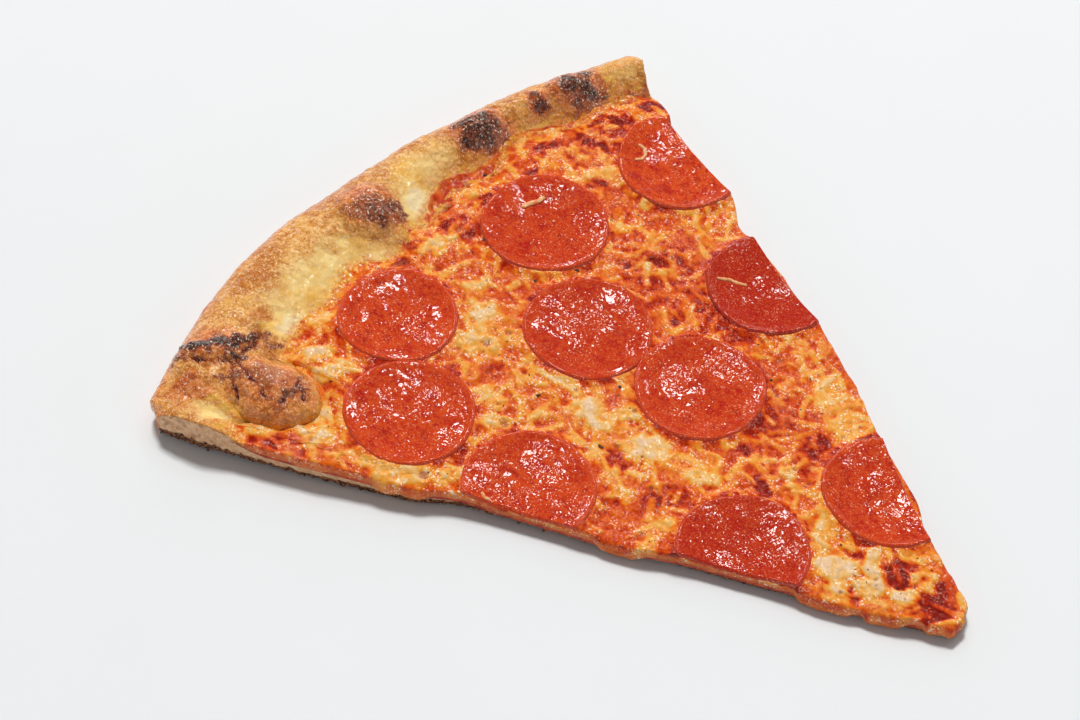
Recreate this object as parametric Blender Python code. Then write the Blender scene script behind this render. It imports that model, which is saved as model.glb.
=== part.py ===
"""A slice of pepperoni pizza, about one seventh of a 21 inch pie, lying flat on its base.

Shapes are worked out in millimetres in the plane of the whole pie, with its centre at the
origin: the slice's tip is near that centre, the crust lies towards -X, and the two cuts run
at HALF_ANGLE to the -X axis. The front cut is the one towards -Y. Every node hangs from one
empty at the centre of the pie, placed so that the world origin is the middle of the base.
"""

import math

import bmesh
import bpy
import numpy as np

MM = 0.001
HALF_ANGLE = math.radians(26.13)
CLEARANCE = 0.3

# The outline. Offsets run square to a straight cut, outwards, against the distance along it.
TIP_RUN = 12.3
TIP_ROUNDING = 2.0
FRONT_CUT = (
    (0, 0.2), (22, 0.2), (36, 1.2), (50, 1.4), (64, -0.3), (95, -0.9), (114, 0.3), (135, -1.0),
    (152, -1.6), (166, -2.4), (185, 0.6), (225, 1.4), (250, 0.6), (264, -0.8),
)
BACK_CUT = (
    (0, -3.6), (40, -2.4), (56, 1.2), (80, 1.6), (107, 4.0), (128, 4.4), (150, 2.6), (165, 0.4),
    (177, -2.4), (190, 0.8), (212, -4.0), (226, -5.4), (236, -3.6), (249, -5.0), (264, -3.2),
)
CRUST_RADIUS = (
    (-26.2, 266.0), (-24.6, 271.0), (-14, 272.8), (-8, 272.3), (-2, 269.4), (4, 268.4),
    (12, 266.0), (20, 265.2), (24.4, 265.2), (26.2, 259.5),
)

# Heights above the table.
BODY_HEIGHT = 2.6
BODY_HEIGHT_AT_CRUST = 6.6
SAUCE_THICKNESS = 0.7
CHEESE_THICKNESS = 1.7
CHEESE_EDGE = 0.7
CREST_HEIGHT = ((-27, 13.2), (-16, 14.2), (-4, 15.2), (4, 14.6), (16, 15.4), (27, 15.0))
NOSE_HEIGHT = 6.2
NOSE_WALL = 0.9
CREST_SHARE = 0.36
RIM_WIDTH = ((-27, 38.0), (-2, 37.0), (6, 29.0), (15, 22.0), (27, 20.0))
UNDERCUT = 7.0
EDGE_LIFT = 0.9
# The rings below the dough's top edge: share of the undercut, then height as shares of the
# nose's height at the crust and of the edge's lift at the cuts.
DOUGH_SIDE = ((0.0, 0.83, 1.0), (0.3, 0.18, 0.35), (1.0, 0.0, 0.0))
SAUCE_EDGE_INSET = 0.5

# Bubbles of the crust: centre x, y, half length, half width, height, turn in degrees.
BUBBLES = (
    (-220.0, -84.5, 15.5, 13.0, 8.6, 20.0),
    (-248.0, -88.5, 13.0, 10.0, 1.4, 60.0),
    (-252.0, -9.5, 11.0, 12.0, 2.2, 0.0),
    (-242.5, -8.0, 6.0, 6.0, 1.6, 0.0),
    (-251.5, 45.0, 9.5, 9.5, 2.6, 30.0),
    (-241.0, 82.0, 10.0, 8.5, 2.2, 30.0),
    (-246.0, 69.5, 4.5, 4.0, 1.3, 0.0),
    (-235.0, -107.0, 12.0, 5.0, -1.0, 20.0),
)

# The edge of the toppings: distance in from the crust's outside against the angle in degrees.
# The bubble at the front pushes it in.
SAUCE_INSET = (
    (-27, 27), (-25.3, 31), (-23.8, 59), (-17.5, 59), (-15.7, 33), (-7.5, 33), (-3, 35),
    (0, 31), (5, 23), (9, 23.5), (13, 18), (18, 20), (23, 16), (27, 14),
)
CHEESE_SHORT_OF_SAUCE = 4.0

# Cheese that ran over the front cut: distance along the cut, half width, how far it hangs.
FRONT_RUNS = (
    (16, 9, 2.6), (34, 9, 3.0), (52, 12, 3.6), (116, 10, 3.2), (186, 12, 2.4), (215, 8, 1.0),
)
BACK_RUNS = ((20, 9, 2.2), (100, 10, 1.6), (158, 9, 2.0), (206, 9, 1.4))
CHEESE_LIP = 1.3

# Pepperoni: x, y, radius, rise of its edge, lift of one side, direction of that side in
# degrees, and the cut that trims it.
PEPPERONI = (
    (-207.3, 29.6, 21.4, 1.1, 0.4, 90, None),
    (-214.0, -34.6, 19.4, 1.0, 0.3, 150, None),
    (-166.8, 5.6, 20.9, 1.1, 0.3, 60, None),
    (-183.8, -60.4, 20.5, 0.9, 0.3, 200, None),
    (-125.2, 12.4, 21.0, 1.0, 0.3, 60, None),
    (-193.0, 84.0, 21.6, 1.6, 2.0, 150, "back"),
    (-136.0, 62.5, 21.0, 1.5, 1.0, 120, "back"),
    (-138.2, -54.8, 20.8, 0.8, 0.3, 100, "front"),
    (-75.3, -27.4, 20.4, 0.8, 0.3, 80, "front"),
    (-56.0, 21.5, 21.0, 1.4, 1.0, 170, "back"),
)
PEPPERONI_THICKNESS = 1.7
SEAT_DEPTH = 0.5

# Rows of the meshes, as shares of the rim's width in from the crust's outside, and of the way
# from the last row that the layers share to the edge of the toppings.
BODY_ROWS = 15
BODY_END = 1.9
RIM_ROWS = (1.5, 1.25, 1.0, 0.88, 0.76, 0.65, 0.54, 0.44, 0.35, 0.26, 0.18, 0.11, 0.05, 0.015, 0.0)
TOPPING_ROWS = (0.2, 0.4, 0.58, 0.75, 0.89, 1.0)
DOUGH_COLUMNS = 32
TOPPING_COLUMNS = 20
PEPPERONI_SIDES = 24
PEPPERONI_RINGS = (0.45, 0.78, 0.97)


def blend(start, end, value):
    """0 before start, 1 after end, and an eased step between them."""
    share = np.clip((value - start) / (end - start), 0.0, 1.0)
    return share * share * (3.0 - 2.0 * share)


def eased(knots, value):
    """The value of a wavy line that levels out at each of its knots."""
    at = np.array([knot[0] for knot in knots], float)
    level = np.array([knot[1] for knot in knots], float)
    value = np.clip(value, at[0], at[-1])
    index = np.clip(np.searchsorted(at, value) - 1, 0, len(at) - 2)
    share = blend(0.0, 1.0, (value - at[index]) / (at[index + 1] - at[index]))
    return level[index] + share * (level[index + 1] - level[index])


def polar(x, y):
    """Distance from the pie's centre and angle from the slice's middle line."""
    return np.hypot(x, y), np.arctan2(y, -x)


def crust_radius(angle):
    """The pie was stretched by hand, so its radius drifts along the slice."""
    return eased(CRUST_RADIUS, np.degrees(angle))


def plan(run, across):
    """The place at a distance from the pie's centre, from -1 on the front cut to 1 on the back."""
    angle = across * HALF_ANGLE
    front = eased(FRONT_CUT, run) * ((1.0 - across) / 2.0) ** 2
    back = eased(BACK_CUT, run) * ((1.0 + across) / 2.0) ** 2
    x = -run * np.cos(angle) + (front + back) * math.sin(HALF_ANGLE)
    y = run * np.sin(angle) + (back - front) * math.cos(HALF_ANGLE)
    return x, y


def tip_run(across):
    return TIP_RUN + TIP_ROUNDING * across**2


def body_height(run):
    return BODY_HEIGHT + (BODY_HEIGHT_AT_CRUST - BODY_HEIGHT) * blend(120.0, 240.0, run)


def rim_width(angle):
    return eased(RIM_WIDTH, np.degrees(angle))


def crust_height(x, y):
    """The rim's section: an eased slope up to the crest, then a quarter ellipse to the nose."""
    run, angle = polar(x, y)
    inset = crust_radius(angle) - run
    width = rim_width(angle)
    crest_inset = CREST_SHARE * width
    crest = eased(CREST_HEIGHT, np.degrees(angle))
    body = body_height(run)
    slope = body + (crest - body) * blend(width, crest_inset, inset)
    share = np.clip((crest_inset - inset) / crest_inset, 0.0, 1.0)
    nose = NOSE_HEIGHT + NOSE_WALL
    rounded = nose + (crest - nose) * np.sqrt(np.maximum(1.0 - share**2, 0.0))
    return np.where(inset < crest_inset, rounded, slope)


def bubble_height(x, y):
    total = np.zeros_like(x)
    for centre_x, centre_y, length, width, height, turn in BUBBLES:
        turn = math.radians(turn)
        along = (x - centre_x) * math.cos(turn) + (y - centre_y) * math.sin(turn)
        side = (y - centre_y) * math.cos(turn) - (x - centre_x) * math.sin(turn)
        spread = np.clip((along / length) ** 2 + (side / width) ** 2, 0.0, 1.0)
        total = total + height * (1.0 - spread) ** 0.75
    return total


def dough_top(x, y):
    run, angle = polar(x, y)
    inset = crust_radius(angle) - run
    return crust_height(x, y) + bubble_height(x, y) * blend(0.0, 5.0, inset)


def sauce_reach(angle):
    return crust_radius(angle) - eased(SAUCE_INSET, np.degrees(angle))


def seat(x, y):
    """1 under a pepperoni, where the cheese is pressed down, and 0 away from them all."""
    total = np.zeros_like(x)
    for centre_x, centre_y, radius, *_ in PEPPERONI:
        distance = np.hypot(x - centre_x, y - centre_y)
        total = np.maximum(total, 1.0 - blend(radius - 1.0, radius + 5.0, distance))
    return total


def clearance(run):
    """Wider where the dough curves up to the rim, so that the flat facets stay apart."""
    return CLEARANCE + 0.25 * blend(195.0, 235.0, run)


def sauce_bottom(x, y):
    return dough_top(x, y) + clearance(np.hypot(x, y))


def sauce_top(x, y):
    return sauce_bottom(x, y) + SAUCE_THICKNESS


def cheese_bottom(x, y):
    return sauce_top(x, y) + clearance(np.hypot(x, y))


def cheese_top(x, y):
    """A soft, slightly lumpy layer that thins out towards the crust."""
    run, angle = polar(x, y)
    short = sauce_reach(angle) - CHEESE_SHORT_OF_SAUCE - run
    lumps = 0.3 * np.sin(x / 7.5 + 0.6) * np.sin(y / 6.5 + 1.9) + 0.15 * np.sin((x + 2 * y) / 9.0)
    pressed = seat(x, y)
    full = CHEESE_THICKNESS + lumps * (1.0 - pressed) - SEAT_DEPTH * pressed
    return cheese_bottom(x, y) + CHEESE_EDGE + (full - CHEESE_EDGE) * blend(0.0, 11.0, short)


def hanging(runs, run):
    """How far the cheese hangs over a cut, at each distance along it."""
    depth = np.full_like(run, 0.35)
    for middle, half_width, fall in runs:
        depth = np.maximum(depth, fall * (1.0 - blend(0.35, 1.0, np.abs(run - middle) / half_width)))
    return depth


def body_rows(columns):
    """The rows that every layer shares: distances from the pie's centre, for each column."""
    angle = columns * HALF_ANGLE
    end = crust_radius(angle) - BODY_END * rim_width(angle)
    start = tip_run(columns)
    return start + (end - start) * np.linspace(0.0, 1.0, BODY_ROWS)[:, None]


def topping_rows(columns, reach):
    body = body_rows(columns)
    last = body[-1]
    return np.concatenate([body, last + (reach - last) * np.array(TOPPING_ROWS)[:, None]])


def spread(values, rows):
    return np.broadcast_to(values, rows.shape)


def last_row(rows):
    return spread(np.arange(len(rows))[:, None] == len(rows) - 1, rows)


def perimeter(array):
    """The border of a grid in order: the tip, the back cut, the crust and the front cut."""
    return np.concatenate([array[0, :-1], array[:-1, -1], array[-1, :0:-1], array[:0:-1, 0]])


def outward(x, y):
    """Unit vectors pointing out of a closed line of places."""
    step_x = np.roll(x, -1) - np.roll(x, 1)
    step_y = np.roll(y, -1) - np.roll(y, 1)
    length = np.hypot(step_x, step_y)
    turn = np.sign(np.sum(x * np.roll(y, -1) - y * np.roll(x, -1)))
    return turn * step_y / length, -turn * step_x / length


def add_grid(mesh, x, y, z):
    """Vertices and quads of a grid, and its vertices as an array."""
    shape = x.shape
    made = [mesh.verts.new(co) for co in zip(x.ravel() * MM, y.ravel() * MM, z.ravel() * MM)]
    made = np.array(made, object).reshape(shape)
    for row in range(shape[0] - 1):
        for column in range(shape[1] - 1):
            mesh.faces.new(
                (made[row, column], made[row + 1, column],
                 made[row + 1, column + 1], made[row, column + 1])
            )
    return made


def add_ring(mesh, x, y, z, last):
    """A closed line of vertices, joined by quads to the one before it."""
    made = [mesh.verts.new(co) for co in zip(x * MM, y * MM, z * MM)]
    join_rings(mesh, last, made)
    return made


def join_rings(mesh, first, second):
    count = len(first)
    for index in range(count):
        after = (index + 1) % count
        mesh.faces.new((first[index], first[after], second[after], second[index]))


def finish(mesh, name, material):
    """Turns a bmesh into an object with flat sides and smooth tops, hung from the pie's centre."""
    bmesh.ops.recalc_face_normals(mesh, faces=mesh.faces)
    data = bpy.data.meshes.new(name)
    mesh.to_mesh(data)
    mesh.free()
    data.shade_smooth()
    data.set_sharp_from_angle(angle=math.radians(50))
    data.materials.append(material)
    made = bpy.data.objects.new(name, data)
    bpy.context.scene.collection.objects.link(made)
    return made


def material_of(name, colour, roughness):
    material = bpy.data.materials.new(name)
    material.use_nodes = True
    shader = material.node_tree.nodes["Principled BSDF"]
    shader.inputs["Base Color"].default_value = (*colour, 1.0)
    shader.inputs["Roughness"].default_value = roughness
    shader.inputs["Metallic"].default_value = 0.0
    return material


def make_dough():
    """The bread: a thin body, a thick rim with its bubbles, and one flat base."""
    columns = np.linspace(-1.0, 1.0, DOUGH_COLUMNS + 1)
    angle = columns * HALF_ANGLE
    rim = crust_radius(angle) - rim_width(angle) * np.array(RIM_ROWS)[:, None]
    rows = np.concatenate([body_rows(columns), rim])
    x, y = plan(rows, spread(columns, rows))
    mesh = bmesh.new()
    top = add_grid(mesh, x, y, dough_top(x, y))
    ring = list(perimeter(top))
    # Down the outside: the nose and the undercut at the crust, and a plain face at the cuts.
    run = perimeter(rows)
    across = perimeter(spread(columns, rows))
    at_crust = perimeter(last_row(rows))
    at_tip = run < TIP_RUN + TIP_ROUNDING + 0.01
    lift = EDGE_LIFT * (0.5 + 0.5 * np.sin(run / 17.0)) * blend(30.0, 60.0, run)
    for share, crust_level, cut_level in DOUGH_SIDE:
        inset = share * UNDERCUT
        narrowing = np.minimum(0.45, inset / (HALF_ANGLE * run)) * (np.abs(across) > 0.999)
        shorter = run - inset * at_crust + np.minimum(inset, 3.0) * at_tip
        ring_x, ring_y = plan(shorter, across * (1.0 - narrowing))
        level = np.where(at_crust, crust_level * NOSE_HEIGHT, cut_level * lift)
        ring = add_ring(mesh, ring_x, ring_y, level, ring)
    mesh.faces.new(ring)
    return finish(mesh, "dough", material_of("baked_dough", (0.72, 0.44, 0.17), 0.62))


def make_sauce():
    """A thin layer of tomato sauce through the whole slice, ragged along the crust."""
    columns = np.linspace(-1.0, 1.0, TOPPING_COLUMNS + 1)
    rows = topping_rows(columns, sauce_reach(columns * HALF_ANGLE))
    rows[0] += 0.6
    narrowing = SAUCE_EDGE_INSET / (HALF_ANGLE * rows)
    x, y = plan(rows, columns * (1.0 - narrowing))
    mesh = bmesh.new()
    top = add_grid(mesh, x, y, sauce_top(x, y))
    bottom = add_grid(mesh, x, y, sauce_bottom(x, y))
    join_rings(mesh, list(perimeter(top)), list(perimeter(bottom)))
    return finish(mesh, "tomato_sauce", material_of("tomato_sauce", (0.55, 0.06, 0.015), 0.3))


def make_cheese():
    """The melted cheese, with a rounded lip that ran over the cuts and the tip."""
    columns = np.linspace(-1.0, 1.0, TOPPING_COLUMNS + 1)
    reach = sauce_reach(columns * HALF_ANGLE) - CHEESE_SHORT_OF_SAUCE
    rows = topping_rows(columns, reach)
    x, y = plan(rows, spread(columns, rows))
    mesh = bmesh.new()
    top = add_grid(mesh, x, y, cheese_top(x, y))
    bottom = add_grid(mesh, x, y, cheese_bottom(x, y))
    # Down the outside: a lip that bulges out over the cut and hangs to its lowest line.
    border_x, border_y = perimeter(x), perimeter(y)
    out_x, out_y = outward(border_x, border_y)
    run = perimeter(rows)
    across = perimeter(spread(columns, rows))
    at_crust = perimeter(last_row(rows))
    fall = np.where(across < 0.0, hanging(FRONT_RUNS, run), hanging(BACK_RUNS, run))
    upper = cheese_top(border_x, border_y)
    lower = cheese_bottom(border_x, border_y)
    bulge = CLEARANCE + 0.25 + CHEESE_LIP * np.minimum(fall / 2.5, 1.0)
    lip = np.where(at_crust, 0.25, bulge)
    hem = np.where(at_crust, 0.15, CLEARANCE + 0.25)
    wall = np.where(at_crust, 0.0, CLEARANCE)
    middle = 0.5 * (upper + lower) - np.where(at_crust, 0.0, 0.45 * fall)
    lowest = lower + np.where(at_crust, 0.2, -fall)
    ring = list(perimeter(top))
    ring = add_ring(mesh, border_x + lip * out_x, border_y + lip * out_y, middle, ring)
    ring = add_ring(mesh, border_x + hem * out_x, border_y + hem * out_y, lowest, ring)
    border = list(perimeter(bottom))
    for vertex, shift, side_x, side_y in zip(border, wall, out_x, out_y):
        vertex.co.x += shift * side_x * MM
        vertex.co.y += shift * side_y * MM
    join_rings(mesh, ring, border)
    return finish(mesh, "cheese", material_of("melted_cheese", (0.80, 0.36, 0.08), 0.35))


def make_pepperoni(number, centre_x, centre_y, radius, rise, lift, lift_angle, cut):
    """A thin round slice with a raised edge, draped over the cheese and trimmed at a cut."""
    turn = np.arange(PEPPERONI_SIDES) * math.tau / PEPPERONI_SIDES
    wobble = 1.0 + 0.012 * np.sin(3.0 * turn + number) + 0.008 * np.sin(5.0 * turn + 2.0 * number)
    toward = math.radians(lift_angle)

    def place(share, height):
        x = centre_x + share * radius * wobble * np.cos(turn)
        y = centre_y + share * radius * wobble * np.sin(turn)
        side = share * np.cos(turn - toward)
        raised = rise * share**4 + lift * np.maximum(side, 0.0) ** 2
        return x, y, cheese_top(x, y) + CLEARANCE + height + raised

    mesh = bmesh.new()
    ends = []
    rings = []
    for height in (PEPPERONI_THICKNESS, 0.0):
        x, y, z = place(0.0, height)
        ends.append(mesh.verts.new((x[0] * MM, y[0] * MM, z[0] * MM)))
        for share in PEPPERONI_RINGS:
            x, y, z = place(share, height)
            rings.append([mesh.verts.new(co) for co in zip(x * MM, y * MM, z * MM)])
    count = len(PEPPERONI_RINGS)
    x, y, z = place(1.0, 0.5 * PEPPERONI_THICKNESS)
    edge = [mesh.verts.new(co) for co in zip(x * MM, y * MM, z * MM)]
    order = rings[:count] + [edge] + rings[:count - 1:-1]
    for first, second in zip(order, order[1:]):
        join_rings(mesh, first, second)
    for end, ring in ((ends[0], order[0]), (ends[1], order[-1])):
        for index in range(PEPPERONI_SIDES):
            mesh.faces.new((end, ring[index], ring[(index + 1) % PEPPERONI_SIDES]))
    if cut:
        trim(mesh, centre_x, centre_y, cut)
    return finish(mesh, f"pepperoni_{number}", pepperoni_material)


def trim(mesh, centre_x, centre_y, cut):
    """Cuts a pepperoni where the slice's own cut passes it, along the local line of that cut."""
    run = math.hypot(centre_x, centre_y)
    across = -1.0 if cut == "front" else 1.0
    reach = 16.0
    near = np.array(plan(np.array([run - reach]), np.array([across]))).ravel()
    far = np.array(plan(np.array([run + reach]), np.array([across]))).ravel()
    along = (far - near) / np.hypot(*(far - near))
    normal = np.array([along[1], -along[0]])
    middle = 0.5 * (near + far)
    if np.dot(normal, middle - np.array([centre_x, centre_y])) < 0.0:
        normal = -normal
    geometry = list(mesh.verts) + list(mesh.edges) + list(mesh.faces)
    result = bmesh.ops.bisect_plane(
        mesh, geom=geometry, dist=1e-7, plane_co=(middle[0] * MM, middle[1] * MM, 0.0),
        plane_no=(normal[0], normal[1], 0.0), clear_outer=True, clear_inner=False,
    )
    edges = [item for item in result["geom_cut"] if isinstance(item, bmesh.types.BMEdge)]
    bmesh.ops.holes_fill(mesh, edges=edges, sides=0)


def stand_on_origin(objects):
    """Hangs everything from the pie's centre, with the world origin under the slice's middle."""
    corners = np.array([vertex.co[:] for made in objects for vertex in made.data.vertices])
    low, high = corners.min(axis=0), corners.max(axis=0)
    centre = bpy.data.objects.new("pie_centre", None)
    centre.location = (-0.5 * (low[0] + high[0]), -0.5 * (low[1] + high[1]), -low[2])
    bpy.context.scene.collection.objects.link(centre)
    for made in objects:
        made.parent = centre


for leftover in list(bpy.data.objects):
    bpy.data.objects.remove(leftover, do_unlink=True)

pepperoni_material = material_of("pepperoni", (0.60, 0.09, 0.02), 0.32)
pieces = [make_dough(), make_sauce(), make_cheese()]
for index, values in enumerate(PEPPERONI):
    pieces.append(make_pepperoni(index + 1, *values))
stand_on_origin(pieces)
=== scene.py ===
"""The looks of a slice of pepperoni pizza, built round its CAD frame.

Shapes are worked out in millimetres in the plane of the whole pie, with its centre at the
origin, the tip near that centre and the crust towards -X. PLACE moves them into the frame.
"""

import math

import bmesh
import bpy
import numpy as np
from mathutils import Matrix, Vector


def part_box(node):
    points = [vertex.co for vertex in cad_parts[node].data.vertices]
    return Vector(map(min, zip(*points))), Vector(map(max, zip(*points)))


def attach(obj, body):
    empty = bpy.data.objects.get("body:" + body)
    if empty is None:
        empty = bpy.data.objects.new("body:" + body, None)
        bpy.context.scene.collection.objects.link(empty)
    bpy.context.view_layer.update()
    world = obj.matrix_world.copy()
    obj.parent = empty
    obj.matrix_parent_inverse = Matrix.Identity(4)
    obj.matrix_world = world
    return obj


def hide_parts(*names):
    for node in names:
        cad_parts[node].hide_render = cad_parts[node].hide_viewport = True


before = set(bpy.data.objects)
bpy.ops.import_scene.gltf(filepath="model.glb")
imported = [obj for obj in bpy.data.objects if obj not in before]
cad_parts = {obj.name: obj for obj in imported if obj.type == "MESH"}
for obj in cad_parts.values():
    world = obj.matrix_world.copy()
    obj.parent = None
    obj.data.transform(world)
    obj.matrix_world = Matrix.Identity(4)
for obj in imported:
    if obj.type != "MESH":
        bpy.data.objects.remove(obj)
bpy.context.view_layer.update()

MM = 0.001

# The slice's outline and heights, as the CAD has them.
HALF_ANGLE = math.radians(26.13)
CLEARANCE = 0.3
TIP_RUN = 12.3
TIP_ROUNDING = 2.0
FRONT_CUT = (
    (0, 0.2), (22, 0.2), (36, 1.2), (50, 1.4), (64, -0.3), (95, -0.9), (114, 0.3), (135, -1.0),
    (152, -1.6), (166, -2.4), (185, 0.6), (225, 1.4), (250, 0.6), (264, -0.8),
)
BACK_CUT = (
    (0, -3.6), (40, -2.4), (56, 1.2), (80, 1.6), (107, 4.0), (128, 4.4), (150, 2.6), (165, 0.4),
    (177, -2.4), (190, 0.8), (212, -4.0), (226, -5.4), (236, -3.6), (249, -5.0), (264, -3.2),
)
CRUST_RADIUS = (
    (-26.2, 266.0), (-24.6, 271.0), (-14, 272.8), (-8, 272.3), (-2, 269.4), (4, 268.4),
    (12, 266.0), (20, 265.2), (24.4, 265.2), (26.2, 259.5),
)
CAD_COLUMNS = 32
BODY_HEIGHT = 2.6
BODY_HEIGHT_AT_CRUST = 6.6
SAUCE_THICKNESS = 0.7
CHEESE_THICKNESS = 1.7
CREST_HEIGHT = ((-27, 13.2), (-16, 14.2), (-4, 15.2), (4, 14.6), (16, 15.4), (27, 15.0))
NOSE_HEIGHT = 6.2
NOSE_WALL = 0.9
CREST_SHARE = 0.36
RIM_WIDTH = ((-27, 38.0), (-2, 37.0), (6, 29.0), (15, 22.0), (27, 20.0))
UNDERCUT = 7.0
EDGE_LIFT = 0.9
BUBBLES = (
    (-220.0, -84.5, 15.5, 13.0, 8.6, 20.0),
    (-248.0, -88.5, 13.0, 10.0, 1.4, 60.0),
    (-252.0, -9.5, 11.0, 12.0, 2.2, 0.0),
    (-242.5, -8.0, 6.0, 6.0, 1.6, 0.0),
    (-251.5, 45.0, 9.5, 9.5, 2.6, 30.0),
    (-241.0, 82.0, 10.0, 8.5, 2.2, 30.0),
    (-246.0, 69.5, 4.5, 4.0, 1.3, 0.0),
    (-235.0, -107.0, 12.0, 5.0, -1.0, 20.0),
)
SAUCE_INSET = (
    (-27, 27), (-22, 31), (-17, 31), (-7.5, 32), (-3, 35),
    (0, 31), (5, 23), (9, 23.5), (13, 18), (18, 20), (23, 16), (27, 14),
)
# How far short of the sauce the cheese ends, against the angle in degrees.
CHEESE_SHORT = ((-27, -1.2), (-3, -1.0), (0, 2.2), (8, 3.0), (12, 0.0), (16, 1.6), (21, -0.5), (27, -1.0))
# The toppings close round the big bubble: its angle, half width in degrees, run and reach.
BUBBLE_ANGLE = -21.1
BUBBLE_HALF_WIDTH = 3.5
BUBBLE_RUN = 240.0
BUBBLE_REACH = 18.0
FRONT_RUNS = (
    (16, 9, 2.6), (34, 9, 3.0), (52, 12, 3.6), (116, 10, 3.2), (186, 12, 2.4), (215, 8, 1.0),
)
BACK_RUNS = ((20, 9, 2.2), (100, 10, 1.6), (158, 9, 2.0), (206, 9, 1.4))
CHEESE_LIP = 1.3
SEAT_DEPTH = 0.5
PEPPERONI = (
    (-207.3, 29.6, 21.4, 1.8, 0.4, 60, None),
    (-214.0, -34.6, 19.4, 1.7, 0.4, 30, None),
    (-166.8, 5.6, 20.9, 1.8, 0.3, 60, None),
    (-183.8, -60.4, 20.5, 1.7, 0.3, 30, None),
    (-125.2, 12.4, 21.0, 1.8, 0.3, 60, None),
    (-193.0, 84.0, 21.6, 2.0, 1.6, 195, "back"),
    (-136.0, 62.5, 21.0, 2.0, 1.3, 215, "back"),
    (-138.2, -54.8, 20.8, 1.6, 0.3, 40, "front"),
    (-75.3, -27.4, 20.4, 1.6, 0.3, 40, "front"),
    (-56.0, 21.5, 21.0, 1.8, 0.6, 215, "back"),
)
PEPPERONI_THICKNESS = 1.35
# How much darker than the palest each pepperoni is.
TONES = (0.3, 0.2, 0.4, 0.2, 0.3, 0.0, 1.0, 0.2, 0.8, 0.3)

# Patches of the cheese: x, y, half length, half width, turn in degrees, strength.
PALE_CURD = (
    (-222, -64, 6, 3.6, 40, 1.0), (-211, -62, 5, 3, 30, 0.8), (-226, -4, 6, 3.4, 60, 1.0),
    (-237, 22, 4, 2.6, 60, 0.7), (-224, 2, 6, 2.4, 20, 0.8), (-232, -52, 4, 3, 30, 0.7),
    (-196, -13, 6, 5, 60, 0.7), (-205, -6, 5, 3, 50, 0.8), (-159, -17, 8, 2.8, 20, 0.9),
    (-146, -19, 6, 4, 40, 0.9), (-162, -42, 6, 3, 40, 0.9), (-162, -52, 5, 3, 80, 0.6),
    (-139, -19, 5, 4, 60, 0.7), (-171, -38, 5, 4, 30, 0.6), (-188, -23, 7, 5, 30, 0.6),
    (-121, -17, 9, 5.5, 30, 1.0), (-102, -15, 7, 3, 30, 0.9), (-136, -12, 5, 3, 70, 0.8),
    (-94, 40, 8, 5, 120, 0.4), (-82, 33, 7, 5, 110, 0.5), (-118, 51, 6, 2.4, 100, 0.6),
    (-106, 2, 5, 2.2, 20, 0.8), (-83, 5, 6, 2.2, 150, 0.8), (-168, 41, 5, 2.4, 30, 0.8),
    (-191, 46, 7, 2.2, 20, 0.7), (-235, 65, 4, 3, 0, 0.7), (-221, 62, 5, 3, 20, 0.8),
    (-209, 62, 7, 3, 40, 0.9), (-194, 14, 6, 2.2, 40, 0.7), (-173, 79, 5, 3, 30, 0.5),
    (-190, 63, 4, 3, 60, 0.9), (-179, 68, 5, 2.6, 30, 0.8), (-215, 67, 5, 3, 80, 0.5),
    (-213, -98, 6, 3, 30, 0.8), (-199, -88, 7, 4, 30, 0.7), (-180, -83, 8, 3.4, 30, 0.8),
    (-158, -70, 6, 4, 60, 0.7), (-166, -74, 7, 4, 40, 0.6), (-128, -50, 5, 4, 120, 0.6),
    (-169, -79, 9, 5, 30, 1.0), (-150, -74, 6, 3, 30, 0.8), (-213, -68, 6, 4, 60, 0.9),
    (-219, 66, 5, 3, 70, 0.5), (-115, -36, 5, 3, 20, 0.4), (-205, -80, 5, 3, 40, 0.8),
    (-51, -12, 7.5, 4.6, 42, 1.5), (-47, -17, 5, 4.5, 42, 1.0), (-42, -6, 8, 2.8, 134, 1.5),
    (-40, -12, 4.5, 4, 42, 1.3), (-28, 1.5, 6.5, 4, 134, 1.5), (-30, -7, 5.5, 3.4, 42, 1.5),
    (-62, -5, 7, 4, 120, 0.8), (-66, 3, 5, 3, 120, 0.6), (-97, -37, 6, 4, 30, 0.5),
)
BARE_SAUCE = (
    (-239, 11, 6, 4, 80, 1.0), (-231, 5, 4, 2.6, 60, 0.9), (-236, -10, 3.4, 3, 0, 0.7),
    (-230, -16, 3.5, 2.6, 0, 0.7), (-240, 34, 8, 4, 80, 1.0), (-242, 24, 6, 3, 80, 1.0),
    (-232, 57, 5, 3, 60, 0.9), (-224, 69, 4, 2.6, 30, 0.9), (-221, 87, 5, 3, 60, 1.0),
    (-219, 98, 6, 3, 60, 0.9), (-166, 47, 6, 4, 40, 0.5), (-126, -27, 5, 4, 30, 0.8),
    (-106, -32, 6, 4, 30, 0.4), (-100, 4, 4, 2.6, 60, 0.8), (-87, -4, 5, 2.6, 130, 0.7),
    (-129, -12, 4, 3, 30, 0.5), (-85, 21, 7, 5, 120, 0.5), (-102, -23, 6, 2, 30, 0.7),
    (-200, -93, 3, 2, 40, 0.9), (-205, -99, 4, 2.2, 30, 0.4), (-214, -103, 4, 2.2, 30, 0.3),
    (-213, -74, 4, 2.6, 60, 0.8), (-36, -1, 6, 4.4, 134, 1.4), (-41, -17, 3.6, 3, 0, 1.1),
    (-23, -2, 8, 5.5, 134, 1.3), (-48, -3, 3, 2.4, 60, 0.6), (-19, -6, 5, 4, 134, 0.8),
    (-228, 79, 5, 2, 80, 0.7), (-226, 44, 4, 3, 40, 0.7), (-229, 25, 4, 2.6, 70, 0.6),
    (-215, 72, 7, 4, 40, 0.7), (-219, 65, 7, 4, 60, 0.6), (-207, 56, 5, 3, 30, 0.6), (-196, 74, 5, 3, 60, 0.6),

)
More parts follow.
